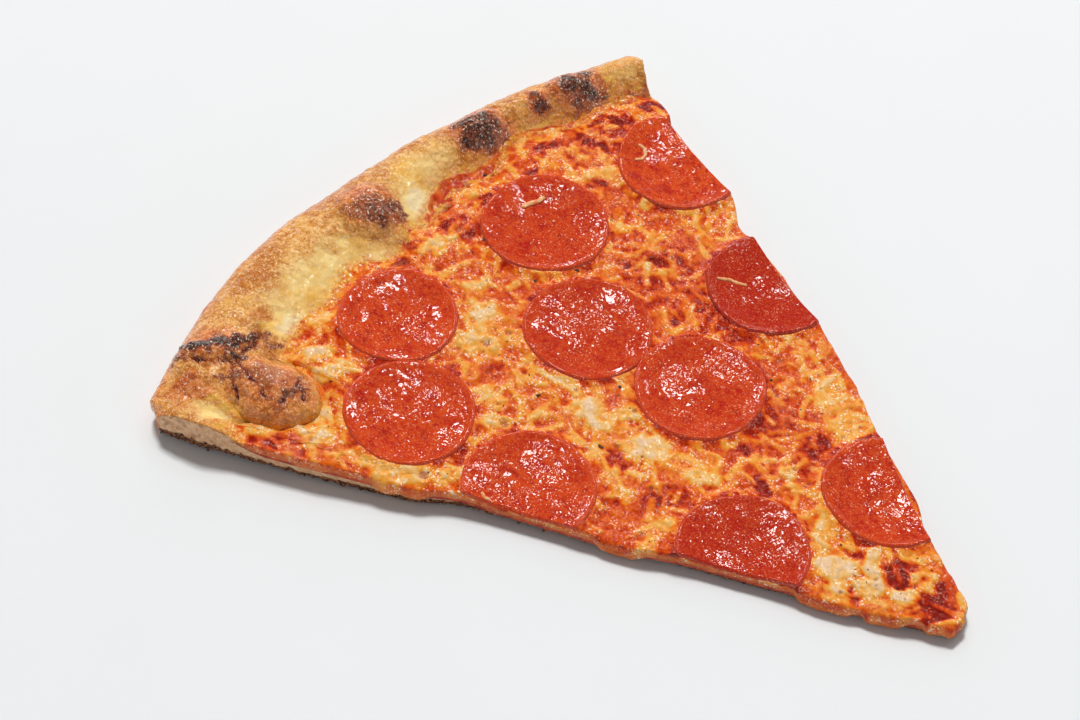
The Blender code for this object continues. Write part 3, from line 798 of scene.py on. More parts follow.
def make_bread():
    """The bread: a thin body, a thick browned rim with its bubbles, and its open crumb."""
    shell = Shell()
    columns = np.linspace(-1.0, 1.0, RIM_COLUMNS + 1)
    angle = columns * HALF_ANGLE
    reach = eased(RIM_REACH, np.degrees(angle))
    shares = np.linspace(1.0, 0.0, RIM_ROWS + 1)[:, None] ** 1.05
    rim = crust_radius(angle) - reach * shares
    core_columns = np.linspace(-1.0, 1.0, CORE_COLUMNS + 1)
    end = crust_radius(core_columns * HALF_ANGLE) - 1.5
    end = end - eased(RIM_REACH, np.degrees(core_columns * HALF_ANGLE))
    start = tip_run(core_columns)
    core = start + (end - start) * np.linspace(0.0, 1.0, CORE_ROWS + 1)[:, None]
    slab = Slab(shell, ((core, core_columns), (rim, columns)), dough_top)
    border_x, border_y = plan(slab.run, slab.across)
    top = dough_top(border_x, border_y)
    lift = EDGE_LIFT * (0.5 + 0.5 * np.sin(slab.run / 17.0)) * blend(30.0, 60.0, slab.run)
    ring = slab.ring
    for share in WALL_SHARES:
        inset, level = bread_profile(share, top, lift, slab.at_crust)
        narrowing = np.minimum(0.45, inset / (HALF_ANGLE * slab.run)) * slab.on_cut
        run = slab.run - inset * slab.at_crust + np.minimum(inset, 3.0) * slab.at_tip
        x, y = plan(run, slab.across * (1.0 - narrowing))
        cut = (1.0 - slab.at_crust) * (1.0 - slab.at_tip * 0.0)
        made = shell.add(x, y, level, cut=cut, down=share, run=slab.run)
        shell.strip(ring, made)
        ring = made
    slab.close(ring, 9.0, lambda x, y: 0.0 * x, cut=0.0, down=1.0, under=1.0)

    place = shell.place()
    normal = shell.normals(place)
    if normal[0, 2] < 0.0:
        normal = -normal
    x, y, z = place.T
    cut, down, under = shell.value("cut"), shell.value("down"), shell.value("under")
    on_top = shell.value("top")
    char, brown, pale, oily, crack, puff = bread_looks(x, y, z, cut, on_top)
    crumb = cut * (1.0 - blend(0.0, 1.2, crust_radius(polar(x, y)[1]) - polar(x, y)[0] < 1.2))
    run, turn = polar(x, y)
    inset = crust_radius(turn) - run
    # Skin: long swells, then blisters, which are coarser where it is charred.
    first, second, number = cells(x, y, 2.3, 3)
    blisters = (1.0 - np.clip(first / 1.5, 0.0, 1.0) ** 2) * (number > 0.45)
    skin = 0.45 * rough(x, y, z, 22.0, 61) + 0.22 * rough(x, y, z, 6.0, 63)
    skin = skin + 0.14 * blisters + 0.07 * rough(x, y, z, 1.6, 65)
    charred = noise(x, y, z, 3.4, 67)
    blistered = np.maximum(char, 0.35 * blend(0.05, 0.4, crack))
    skin = skin + blistered * (1.0 * np.abs(charred) + 0.25 * rough(x, y, z, 1.8, 69))
    skin = skin + 1.1 * puff - 1.0 * blend(0.5, 1.0, crack)
    # Crumb: open holes, rough between them, and a coarse toasted edge at the bottom.
    along = np.where(y < 0.0, run, run + 400.0)
    hole, _, kind = cells(along, z * 1.25, 1.9, 9)
    open_hole = (1.0 - blend(0.25, 0.8, hole / (3.0 * kind - 1.7))) * (kind > 0.8)
    band = 2.4 + 1.8 * blend(200.0, 250.0, run)
    toast = cut * (1.0 - blend(-0.6, 0.8, z - band + 0.9 * rough(along, z, 0.0, 2.2, 71)))
    pore = -0.8 * open_hole + 0.16 * rough(x, y, z, 2.6, 73) + 0.08 * rough(x, y, z, 1.1, 75)
    pore = pore - 0.35 * np.sin(np.pi * np.clip(down / 0.8, 0.0, 1.0)) * blend(200.0, 250.0, run)
    pore = pore + toast * (0.3 + 0.55 * rough(x, y, z, 1.4, 77, 2))
    visible = blend(-7.0, -3.0, run - sauce_reach(turn))
    push = np.where(cut > 0.5, pore, skin * np.maximum(visible, 1.0 - on_top))
    push = push * (1.0 - under) * blend(0.0, 1.2, z)
    place = place + normal * push[:, None]
    place[:, 2] = np.maximum(place[:, 2], 0.0)
    edge_brown = cut * (1.0 - blend(0.6, 1.8, inset))
    named = {
        "crumb": np.clip(crumb - edge_brown, 0.0, 1.0) * (down > 0.02),
        "toast": np.maximum(toast, under),
        "char": char * (1.0 - cut),
        "brown": brown,
        "pale": pale,
        "oily": oily * on_top,
        "crack": crack,
        "hole": open_hole * cut,
    }
    made = make_object(shell, "bread", place, named, bread_material())
    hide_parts("dough")
    return made


# ---------------------------------------------------------------- sauce and cheese


def layer_edge(slab, upper, lower, fall, lip, height_seed):
    """Rings of a soft rounded lip from a layer's top edge down to its lowest line."""
    border_x, border_y = plan(slab.run, slab.across)
    out_x, out_y = outward(border_x, border_y)
    rings = []
    for step in range(1, 8):
        turn = math.pi * step / 7.0
        middle = 0.5 * (upper + lower - fall)
        half = 0.5 * (upper - lower + fall)
        out = lip * math.sin(turn) ** 0.8 + np.where(step > 5, CLEARANCE + 0.25, 0.0)
        level = middle + half * math.cos(turn)
        rings.append((border_x + out * out_x, border_y + out * out_y, level))
    return rings


SAUCE_COLUMNS = 300
SAUCE_BAND = 26.0


def make_sauce(field):
    """The tomato sauce, which shows along the crust and as a line at the cuts."""
    shell = Shell()
    columns = np.linspace(-1.0, 1.0, SAUCE_COLUMNS + 1)
    angle = columns * HALF_ANGLE
    reach = sauce_reach(angle)
    band = reach - SAUCE_BAND * np.linspace(1.0, 0.0, 46)[:, None]
    core_columns = np.linspace(-1.0, 1.0, 49)
    end = np.interp(core_columns, columns, reach) - SAUCE_BAND - 1.5
    start = tip_run(core_columns) + 0.6
    core = start + (end - start) * np.linspace(0.0, 1.0, 190)[:, None]
    slab = Slab(shell, ((core, core_columns), (band, columns)), sauce_top)
    border_x, border_y = plan(slab.run, slab.across)
    upper, lower = sauce_top(border_x, border_y), sauce_bottom(border_x, border_y) - 0.4
    ring = slab.ring
    fall = np.where(slab.at_crust > 0, 0.5, 0.25)
    for x, y, level in layer_edge(slab, upper, lower, fall, 0.35, 5):
        made = shell.add(x, y, level, run=slab.run)
        shell.strip(ring, made)
        ring = made
    slab.close(ring, 5.0, sauce_bottom)
    place = shell.place()
    x, y, z = place.T
    run, turn = polar(x, y)
    margin = blend(-24.0, -8.0, run - sauce_reach(turn)) * shell.value("top")
    place[:, 2] += margin * (0.35 * rough(x, y, 0.0, 5.0, 83) + 0.2 * rough(x, y, 0.0, 1.8, 85))
    thin = blend(-3.0, 1.5, run - sauce_reach(turn) + 1.2 * rough(x, y, 0.0, 3.0, 87))
    made = make_object(shell, "sauce", place, {"thin": thin}, sauce_material())
    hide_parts("tomato_sauce")
    return made


CHEESE_BANDS = ((72.0, 112), (142.0, 208), (None, 330))
CHEESE_SPACING = 0.66
CHEESE_LOOKS = ("curd", "shred", "high", "sauce", "brown", "yellow", "oily")


def cheese_height(field, x, y):
    """The cheese's own surface, with its shreds and blisters."""
    run, turn = polar(x, y)
    short = cheese_reach(turn) - run
    fade = blend(-2.0, 6.0, short)
    return cheese_top(x, y) + field.read("relief", x, y) * fade


def make_cheese(field):
    """Melted cheese over the whole slice, run over the cuts in soft drips."""
    shell = Shell()
    bands = []
    start = None
    for stop, count in CHEESE_BANDS:
        columns = np.linspace(-1.0, 1.0, count + 1)
        angle = columns * HALF_ANGLE
        begin = tip_run(columns) if start is None else start + 0.0 * columns
        if stop is None:
            end = cheese_reach(angle)
        else:
            end = stop + 0.0 * columns
        rows = int(round(float(np.median(end - begin)) / CHEESE_SPACING))
        bands.append((begin + (end - begin) * np.linspace(0.0, 1.0, rows + 1)[:, None], columns))
        start = None if stop is None else stop + CHEESE_SPACING
    slab = Slab(shell, bands, lambda x, y: cheese_height(field, x, y))
    border_x, border_y = plan(slab.run, slab.across)
    upper = cheese_height(field, border_x, border_y)
    lower = cheese_bottom(border_x, border_y)
    fall = np.where(slab.across < 0.0, hanging(FRONT_RUNS, slab.run), hanging(BACK_RUNS, slab.run))
    wobble = rough(slab.run, slab.across * 90.0, 0.0, 7.0, 93)
    fall = np.maximum(0.2, fall * (1.0 + 0.35 * wobble) + 0.35 * wobble)
    fall = np.where(slab.at_crust > 0, 0.8, np.minimum(fall, lower - 0.6))
    lip = CHEESE_LIP * np.clip(fall / 2.5, 0.25, 1.0) * (1.0 + 0.25 * wobble)
    lip = np.where(slab.at_crust > 0, 0.1, lip)
    ring = slab.ring
    for step, (x, y, level) in enumerate(layer_edge(slab, upper, lower, fall, lip, 7)):
        side = (1.0 - slab.at_crust) * (step + 1) / 7.0
        made = shell.add(x, y, level, run=slab.run, side=side)
        shell.strip(ring, made)
        ring = made
    slab.close(ring, 5.0, cheese_bottom)
    place = shell.place()
    x, y, z = place.T
    run, turn = polar(x, y)
    edge = blend(-6.0, 0.5, run - cheese_reach(turn) + 1.5 * rough(x, y, 0.0, 4.0, 97))
    side = shell.value("side")
    place[:, 2] += np.sign(side) * 0.12 * rough(x, y, z, 1.6, 95)
    named = {label: field.read(label, x, y) for label in CHEESE_LOOKS}
    named["edge"] = edge
    named["side"] = side
    made = make_object(shell, "melted_cheese", place, named, cheese_material())
    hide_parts("cheese")
    return made


# ---------------------------------------------------------------- pepperoni


PEPPERONI_SIDES = 240
PEPPERONI_RINGS = 46
EDGE_STEPS = 7


def cut_distance(centre_x, centre_y, cut, turn):
    """Distance from a pepperoni's centre to the slice's cut in each direction."""
    if cut is None:
        return np.full_like(turn, 999.0)
    run = math.hypot(centre_x, centre_y)
    across = -1.0 if cut == "front" else 1.0
    near = np.array(plan(np.array([run - 16.0]), np.array([across]))).ravel()
    far = np.array(plan(np.array([run + 16.0]), np.array([across]))).ravel()
    along = (far - near) / np.hypot(*(far - near))
    normal = np.array([along[1], -along[0]])
    away = float(np.dot(normal, near - np.array([centre_x, centre_y])))
    if away < 0.0:
        away, normal = -away, -normal
    toward = np.cos(turn) * normal[0] + np.sin(turn) * normal[1]
    return away / np.maximum(toward, 1e-3)


def pepperoni_outline(number, centre_x, centre_y, radius, cut):
    """Directions round a pepperoni, its own radius and how far it reaches before the cut."""
    turn = np.arange(PEPPERONI_SIDES) * math.tau / PEPPERONI_SIDES
    wobble = 1.0 + 0.012 * np.sin(3.0 * turn + number) + 0.008 * np.sin(5.0 * turn + 2.0 * number)
    own = radius * wobble * (1.0 + 0.004 * noise(9.0 * np.cos(turn), 9.0 * np.sin(turn), number, 3.0, 5))
    reach = cut_distance(centre_x, centre_y, cut, turn)
    ragged = 1.0 + 0.012 * noise(40.0 * turn, 0.0 * turn, number, 4.0, 6)
    return turn, own, np.minimum(own, reach * ragged)


def pepperoni_base(x, y, share, turn, rise, lift, toward):
    """The underside of a pepperoni: it follows the cheese and rises towards its edge."""
    side = share * np.cos(turn - toward)
    raised = rise * share**2.1 + lift * np.maximum(side, 0.0) ** 5
    return cheese_top(x, y) + raised - 1.1


def pepperoni_relief(x, y, gap, number):
    """Soft dents, pimples of fat, and the flat band that runs round inside the edge."""
    seed = 100 + 7 * number
    swell = 0.26 * rough(x, y, 0.0, 11.0, seed, 2, 0.35)
    near, _, kind = cells(x, y, 1.9, seed % 23)
    pimples = 0.03 * (1.0 - np.clip(near / 1.2, 0.0, 1.0) ** 2) * (kind > 0.4)
    wander = gap + 0.25 * noise(x, y, 0.0, 6.0, seed + 3)
    band = 0.05 * (1.0 - blend(1.3, 2.3, wander))
    return (swell + pimples) * blend(0.3, 2.5, gap) + band


def make_pepperoni(number, centre_x, centre_y, radius, rise, lift, lift_angle, cut):
    shell = Shell()
    turn, own, reach = pepperoni_outline(number, centre_x, centre_y, radius, cut)
    toward = math.radians(lift_angle)

    def at(part):
        x = centre_x + part * reach * np.cos(turn)
        y = centre_y + part * reach * np.sin(turn)
        share = part * reach / own
        return x, y, share, own - part * reach

    parts = np.linspace(0.0, 1.0, PEPPERONI_RINGS + 1)[1:] ** 0.92
    x, y = np.array([centre_x]), np.array([centre_y])
    base = pepperoni_base(x, y, 0.0, 0.0, rise, lift, toward)
    relief = pepperoni_relief(x, y, np.array([radius]), number)
    centre = shell.add(x, y, base + PEPPERONI_THICKNESS + relief, gap=radius, top=1.0)
    ring = None
    for part in parts:
        x, y, share, gap = at(part)
        base = pepperoni_base(x, y, share, turn, rise, lift, toward)
        level = base + PEPPERONI_THICKNESS + pepperoni_relief(x, y, gap, number)
        rounding = np.clip((part * reach - reach + 0.7) / 0.7, 0.0, 1.0)
        made = shell.add(x, y, level - 0.3 * rounding**2, gap=gap, top=1.0)
        if ring is None:
            shell.fan(int(centre[0]), made)
        else:
            shell.strip(ring, made)
        ring = made
    top_edge = level - 0.3
    x, y, share, gap = at(1.0)
    low = np.where(reach < own - 0.2, pepperoni_base(x, y, share, turn, rise, lift, toward),
                   cheese_top(x, y) + 0.3)
    for step in range(1, EDGE_STEPS + 1):
        down = step / EDGE_STEPS
        out = 0.35 * math.sin(math.pi * down) + 0.15 * down
        made = shell.add(
            x + out * np.cos(turn), y + out * np.sin(turn), top_edge + (low - top_edge) * down,
            gap=gap, side=1.0,
        )
        shell.strip(ring, made)
        ring = made
    for part in (0.93, 0.8, 0.6, 0.35, 0.12):
        x, y, share, gap = at(part)
        made = shell.add(
            x, y, pepperoni_base(x, y, share, turn, rise, lift, toward), gap=gap
        )
        shell.strip(ring, made)
        ring = made
    centre = shell.add(
        np.array([centre_x]), np.array([centre_y]),
        cheese_top(np.array([centre_x]), np.array([centre_y])) + 0.15, gap=radius,
    )
    shell.fan(int(centre[0]), ring)
    name = f"pepperoni_slice_{number}"
    named = {"gap": shell.value("gap"), "side": shell.value("side")}
    named["tone"] = np.full(shell.count, TONES[number - 1])
    made = make_object(shell, name, shell.place(), named, pepperoni_material())
    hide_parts(f"pepperoni_{number}")
    return made


# ---------------------------------------------------------------- oil, flecks and loose shreds


OIL_STEPS = 7
OIL_SLOPE = 0.12


def make_oil(field):
    """Oil drawn up round each pepperoni in a narrow bright bead."""
    shell = Shell()
    for index, (centre_x, centre_y, radius, *_, cut) in enumerate(PEPPERONI):
        number = index + 1
        turn, own, reach = pepperoni_outline(number, centre_x, centre_y, radius, cut)
        kept = own - reach < 0.2
        if cut:
            # The arc that the cut left, from one of its ends to the other.
            first = int(np.flatnonzero(kept & ~np.roll(kept, 1))[0])
            order = (first + np.arange(int(kept.sum()))) % len(turn)
            ends = np.minimum(np.arange(len(order)), len(order) - 1 - np.arange(len(order)))
            taper = blend(-1.0, 8.0, ends)
        else:
            order = np.append(np.arange(len(turn)), 0)
            taper = 1.0
        turn, own = turn[order], own[order]
        wander = noise(3.0 * np.cos(turn), 3.0 * np.sin(turn), number, 1.3, 11)
        width = np.clip(0.45 + 1.0 * wander, 0.05, 1.5) * taper
        middle_x = centre_x + (own + 0.8) * np.cos(turn)
        middle_y = centre_y + (own + 0.8) * np.sin(turn)
        level = cheese_top(middle_x, middle_y) + 1.0 + 0.25 * wander
        rows = []
        for step in range(OIL_STEPS + 1):
            out = own - 0.4 + step / OIL_STEPS * (width + 0.4)
            x, y = centre_x + out * np.cos(turn), centre_y + out * np.sin(turn)
            rounding = 0.5 * max(0.0, step / OIL_STEPS - 0.75) ** 2 * 16.0
            rows.append(shell.add(x, y, level - OIL_SLOPE * (out - own - 0.8) - rounding))
        for out in (own + width, own - 0.4):
            x, y = centre_x + out * np.cos(turn), centre_y + out * np.sin(turn)
            rows.append(shell.add(x, y, level - 1.6))
        rows.append(rows[0])
        shell.grid(np.stack(rows))
    made = make_object(shell, "oil_beads", shell.place(), {}, oil_material())
    return made


HERBS = (
    (-186, 22, 1.4), (-193, 9, 1.5), (-217, 10, 1.6), (-160, -26, 1.2), (-144, -5, 1.5),
    (-133, -27, 1.9), (-111, 31, 1.3), (-230, -15, 1.3), (-239, 34, 1.4), (-142, -8, 1.0),
    (-210, -69, 1.4), (-172, 44, 1.1), (-178, 36, 1.0),
)
HERB_COUNT = 120


def make_herbs(field):
    """Dark flecks of dried herb and pepper on the cheese."""
    rng = np.random.default_rng(33)
    places = list(HERBS)
    while len(places) < HERB_COUNT:
        run = math.sqrt(rng.uniform(20.0**2, 236.0**2))
        x, y = plan(np.array(run), np.array(rng.uniform(-0.96, 0.96)))
        if seat(x.reshape(1), y.reshape(1))[0] < 0.3:
            places.append((float(x), float(y), rng.uniform(0.25, 0.75)))
    shell = Shell()
    for x, y, size in places:
        sides = 7
        turn = np.arange(sides) * math.tau / sides + rng.uniform(0.0, 6.0)
        long = size * rng.uniform(0.5, 0.9)
        slim = size * rng.uniform(0.25, 0.5)
        lean = rng.uniform(0.0, math.pi)
        jag = rng.uniform(0.75, 1.2, sides)
        base = float(cheese_height(field, np.array([x]), np.array([y]))[0])
        rings = []
        for scale, level in ((0.6, -0.15), (1.0, 0.02), (0.75, 0.16)):
            u = scale * long * jag * np.cos(turn)
            v = scale * slim * jag * np.sin(turn)
            tilt = 0.25 * u * math.sin(7.0 * x)
            rings.append(shell.add(
                x + u * math.cos(lean) - v * math.sin(lean),
                y + u * math.sin(lean) + v * math.cos(lean), base + level + tilt,
            ))
        low = shell.add(np.array([x]), np.array([y]), np.array([base - 0.15]))
        high = shell.add(np.array([x]), np.array([y]), np.array([base + 0.2]))
        shell.fan(int(low[0]), rings[0])
        shell.strip(rings[0], rings[1])
        shell.strip(rings[1], rings[2])
        shell.fan(int(high[0]), rings[2])
    made = make_object(shell, "herb_flecks", shell.place(), {}, herb_material())
    return made


# Shreds of cheese that lie on the pepperoni: their line of places and half width.
LOOSE_SHREDS = (
    (((-217.8, 29.5), (-217.2, 32.6), (-215.8, 35.6), (-215.6, 38.5)), 1.0),
    (((-208.6, 79.6), (-206.2, 80.0), (-204.0, 78.2), (-203.6, 75.6), (-205.0, 73.6)), 0.6),
    (((-150.4, 51.7), (-147.4, 54.9), (-144.4, 56.0), (-142.1, 57.9)), 0.65),
    (((-147.0, -66.8), (-145.0, -67.6), (-143.2, -67.0)), 0.6),
    (((-206.7, 32.6), (-206.0, 33.4)), 0.55),
)
SHRED_SIDES = 10


def pepperoni_top(x, y):
    """The highest pepperoni's top at each place."""
    total = cheese_top(x, y)
    for number, values in enumerate(PEPPERONI, 1):
        centre_x, centre_y, radius, rise, lift, lift_angle, _ = values
        away = np.hypot(x - centre_x, y - centre_y)
        turn = np.arctan2(y - centre_y, x - centre_x)
        level = pepperoni_base(x, y, away / radius, turn, rise, lift, math.radians(lift_angle))
        level = level + PEPPERONI_THICKNESS + pepperoni_relief(x, y, radius - away, number)
        total = np.where(away < radius, np.maximum(total, level), total)
    return total


def make_loose_shreds():
    """Soft rods of cheese, round at both ends."""
    shell = Shell()
    turn = np.arange(SHRED_SIDES) * math.tau / SHRED_SIDES
    for line, half_width in LOOSE_SHREDS:
        knots = np.array(line, float)
        at = np.concatenate([[0.0], np.cumsum(np.hypot(*np.diff(knots, axis=0).T))])
        rings = []
        for share in 0.5 - 0.5 * np.cos(np.linspace(0.02, 0.98, 26) * math.pi):
            x = np.interp(share * at[-1], at, knots[:, 0])
            y = np.interp(share * at[-1], at, knots[:, 1])
            ahead = min(share + 0.04, 1.0) * at[-1]
            behind = max(share - 0.04, 0.0) * at[-1]
            lean = math.atan2(
                np.interp(ahead, at, knots[:, 1]) - np.interp(behind, at, knots[:, 1]),
                np.interp(ahead, at, knots[:, 0]) - np.interp(behind, at, knots[:, 0]),
            )
            end = min(share, 1.0 - share) * at[-1] / half_width
            size = half_width * math.sqrt(1.0 - max(1.0 - end, 0.0) ** 2)
            size *= 1.0 + 0.18 * float(noise(x, y, 0.0, 1.7, 121))
            out = size * np.cos(turn)
            rings.append(shell.add(
                x - out * math.sin(lean), y + out * math.cos(lean),
                float(pepperoni_top(np.array([x]), np.array([y]))[0])
                + 0.1 * half_width + 0.5 * size * np.sin(turn),
            ))
        for first, second in zip(rings, rings[1:]):
            shell.strip(first, second)
        for ring in (rings[0], rings[-1]):
            middle = shell.place()[ring].mean(axis=0)
            centre = shell.add(*(np.array([value]) for value in middle))
            shell.fan(int(centre[0]), ring)
    made = make_object(shell, "loose_shreds", shell.place(), {}, shred_material())
    return made


# ---------------------------------------------------------------- materials


def linear(red, green, blue):
    """A colour of 0 to 255 as it looks on screen, as Blender's linear values."""
    values = []
    for value in (red, green, blue):
        value /= 255.0
        values.append(value / 12.92 if value <= 0.04045 else ((value + 0.055) / 1.055) ** 2.4)
    return (*values, 1.0)


class Paint:
    """A material and short ways to add its nodes."""

    def __init__(self, name):
        self.material = bpy.data.materials.new(name)
        self.material.use_nodes = True
        self.tree = self.material.node_tree
        self.shader = self.tree.nodes["Principled BSDF"]
        self.where = self.tree.nodes.new("ShaderNodeTexCoord").outputs["Object"]

    def put(self, socket, value):
        if isinstance(value, bpy.types.NodeSocket):
            self.tree.links.new(value, socket)
        elif isinstance(value, tuple) and socket.type == "VECTOR":
            socket.default_value = value[:3]
        else:
            socket.default_value = value

    def set(self, **values):
        for name, value in values.items():
            self.put(self.shader.inputs[name.replace("_", " ")], value)

    def number(self, name):
        made = self.tree.nodes.new("ShaderNodeAttribute")
        made.attribute_name = name
        return made.outputs["Fac"]

    def noise(self, size, detail=2.0, roughness=0.5, distortion=0.0):
        """Noise with lumps of about that many millimetres, from 0 to 1."""
        made = self.tree.nodes.new("ShaderNodeTexNoise")
        self.put(made.inputs["Vector"], self.where)
        made.inputs["Scale"].default_value = 1.0 / (size * MM)
        made.inputs["Detail"].default_value = detail
        made.inputs["Roughness"].default_value = roughness
        made.inputs["Distortion"].default_value = distortion
        return made.outputs["Fac"]

    def cells(self, size, feature="F1", output="Distance"):
        made = self.tree.nodes.new("ShaderNodeTexVoronoi")
        made.feature = feature
        self.put(made.inputs["Vector"], self.where)
        made.inputs["Scale"].default_value = 1.0 / (size * MM)
        return made.outputs[output]

    def math(self, kind, first, second=0.0, clamp=False):
        made = self.tree.nodes.new("ShaderNodeMath")
        made.operation = kind
        made.use_clamp = clamp
        self.put(made.inputs[0], first)
        self.put(made.inputs[1], second)
        return made.outputs[0]

    def times(self, first, second):
        return self.math("MULTIPLY", first, second)

    def plus(self, first, second, clamp=False):
        return self.math("ADD", first, second, clamp)

    def step(self, value, start, end, low=0.0, high=1.0):
        """low before start, high after end, eased between them."""
        made = self.tree.nodes.new("ShaderNodeMapRange")
        made.interpolation_type = "SMOOTHSTEP"
        self.put(made.inputs["Value"], value)
        made.inputs["From Min"].default_value = start
        made.inputs["From Max"].default_value = end
        made.inputs["To Min"].default_value = low
        made.inputs["To Max"].default_value = high
        return made.outputs[0]

    def mix(self, share, first, second):
        made = self.tree.nodes.new("ShaderNodeMix")
        made.data_type = "RGBA"
        self.put(made.inputs["Factor"], share)
        self.put([s for s in made.inputs if s.name == "A" and s.type == "RGBA"][0], first)
        self.put([s for s in made.inputs if s.name == "B" and s.type == "RGBA"][0], second)
        return [s for s in made.outputs if s.type == "RGBA"][0]

    def bump(self, height, millimetres, strength=1.0, normal=None):
        made = self.tree.nodes.new("ShaderNodeBump")
        made.inputs["Strength"].default_value = strength
        made.inputs["Distance"].default_value = millimetres * MM
        self.put(made.inputs["Height"], height)
        if normal is not None:
            self.put(made.inputs["Normal"], normal)
        return made.outputs[0]


def bread_material():
    paint = Paint("baked_bread")
    broad = paint.noise(10.0, 3.0, 0.55)
    speck = paint.noise(2.4, 4.0, 0.65)
    fine = paint.noise(0.9, 3.0, 0.65)
    grain = paint.plus(paint.times(paint.plus(speck, -0.5), 1.0), paint.times(paint.plus(fine, -0.5), 0.9))
    golden = paint.mix(paint.step(paint.plus(broad, grain), 0.3, 0.72),
                       linear(190, 108, 38), linear(232, 168, 82))
    pale = paint.mix(paint.step(broad, 0.3, 0.7), linear(246, 188, 82), linear(255, 224, 146))
    how_pale = paint.plus(paint.number("pale"), paint.times(grain, 0.3))
    skin = paint.mix(paint.step(how_pale, 0.05, 0.95), golden, pale)
    skin = paint.mix(paint.step(how_pale, 1.0, 1.6, 0.0, 0.8), skin, linear(252, 232, 186))
    oily = paint.mix(paint.step(speck, 0.38, 0.62), linear(240, 184, 74), linear(220, 124, 42))
    skin = paint.mix(paint.step(paint.plus(paint.number("oily"), grain), 0.2, 0.9, 0.0, 0.85), skin, oily)
    how_brown = paint.plus(paint.number("brown"), paint.times(grain, 0.8))
    rust = paint.mix(paint.step(speck, 0.42, 0.58), linear(180, 72, 24), linear(232, 132, 58))
    skin = paint.mix(paint.step(how_brown, 0.05, 0.7, 0.0, 0.95), skin, rust)
    brown = paint.mix(paint.step(fine, 0.4, 0.62), linear(116, 56, 32), linear(172, 108, 70))
    skin = paint.mix(paint.step(how_brown, 0.5, 1.2, 0.0, 0.95), skin, brown)
    how_cracked = paint.plus(paint.number("crack"), paint.times(grain, 0.8))
    skin = paint.mix(paint.step(how_cracked, 0.15, 0.6), skin, linear(150, 58, 26))
    skin = paint.mix(paint.step(how_cracked, 0.55, 1.05), skin, linear(84, 28, 18))
    how_char = paint.times(paint.number("char"), paint.plus(1.0, paint.times(grain, 2.4)))
    skin = paint.mix(paint.step(how_char, 0.10, 0.5), skin, linear(148, 72, 36))
    skin = paint.mix(paint.step(how_char, 0.45, 0.8), skin, linear(98, 42, 26))
    skin = paint.mix(paint.step(how_char, 0.75, 1.1), skin, linear(52, 24, 20))
    crumb = paint.mix(paint.step(paint.noise(1.6, 3.0, 0.6), 0.35, 0.65),
                      linear(232, 190, 148), linear(210, 158, 116))
    # Painted shade: the crumb's open holes are coloured darker brown, as shade in them.
    crumb = paint.mix(paint.times(paint.number("hole"), 0.55), crumb, linear(140, 86, 60))
    toast = paint.mix(paint.step(paint.noise(0.8, 2.0), 0.42, 0.62),
                      linear(58, 30, 18), linear(164, 104, 62))
    # Painted highlights: fine pale cream specks mixed into the crust's colour, stronger on the golden skin than on
    # browned and charred parts.
    crust_painted_glints = paint.step(paint.plus(paint.noise(0.55, 1.0), paint.times(paint.plus(speck, -0.5), 0.3)), 0.56, 0.66)
    lit = paint.times(crust_painted_glints, paint.step(paint.plus(how_brown, how_char), 0.1, 1.0, 0.5, 0.18))
    skin = paint.mix(lit, skin, linear(255, 232, 188))
    # Painted highlights: sparse bright specks mixed into the colour on the browned and charred skin.
    painted_glint_reach = paint.step(paint.plus(paint.number("brown"), paint.number("char")), 0.3, 0.9, 0.0, 0.8)
    painted_sparkle_specks = paint.step(paint.noise(0.85, 1.5), 0.62, 0.68)
    skin = paint.mix(paint.times(painted_glint_reach, painted_sparkle_specks), skin, linear(255, 232, 206))
    how_cut = paint.step(paint.number("crumb"), 0.3, 0.7)
    colour = paint.mix(how_cut, skin, crumb)
    colour = paint.mix(paint.step(paint.plus(paint.number("toast"), paint.times(grain, 0.5)), 0.25, 0.75),
                       colour, toast)
    pimples = paint.plus(paint.noise(2.2, 1.0), paint.times(paint.noise(1.2, 0.0), 0.45))
    pimples = paint.times(pimples, paint.step(how_pale, 0.1, 0.9, 1.0, 0.35))
    normal = paint.bump(pimples, 0.6)
    gloss = paint.step(speck, 0.3, 0.7, 0.06, 0.12)
    roughness = paint.math("MAXIMUM", gloss, paint.times(how_cut, 0.85))
    paint.set(Base_Color=colour, Roughness=roughness, Normal=normal)
    paint.set(Specular_IOR_Level=paint.step(how_brown, 0.2, 0.7, 0.42, 0.75))
    return paint.material


def sauce_material():
    paint = Paint("tomato_sauce_wet")
    blot = paint.noise(3.0, 4.0, 0.6)
    colour = paint.mix(paint.step(blot, 0.38, 0.62), linear(182, 42, 16), linear(220, 86, 28))
    thin = paint.step(paint.plus(paint.number("thin"), paint.times(paint.plus(blot, -0.5), 2.0)), 0.3, 1.1)
    colour = paint.mix(paint.times(thin, 0.6), colour, linear(226, 124, 36))
    normal = paint.bump(paint.noise(2.4, 1.0), 0.5)
    paint.set(Base_Color=colour, Normal=normal, Roughness=0.12, Specular_IOR_Level=0.5)
    return paint.material


# The cheese's colours, from the bare sauce in its hollows up to the palest curd.
CHEESE_RAMP = (
    (-0.05, 0.12, (162, 30, 8)), (0.10, 0.30, (210, 70, 14)), (0.28, 0.48, (228, 108, 22)),
    (0.46, 0.66, (236, 142, 42)), (0.64, 0.86, (238, 164, 62)), (0.86, 1.10, (234, 182, 108)),
    (1.10, 1.45, (232, 192, 150)),
)


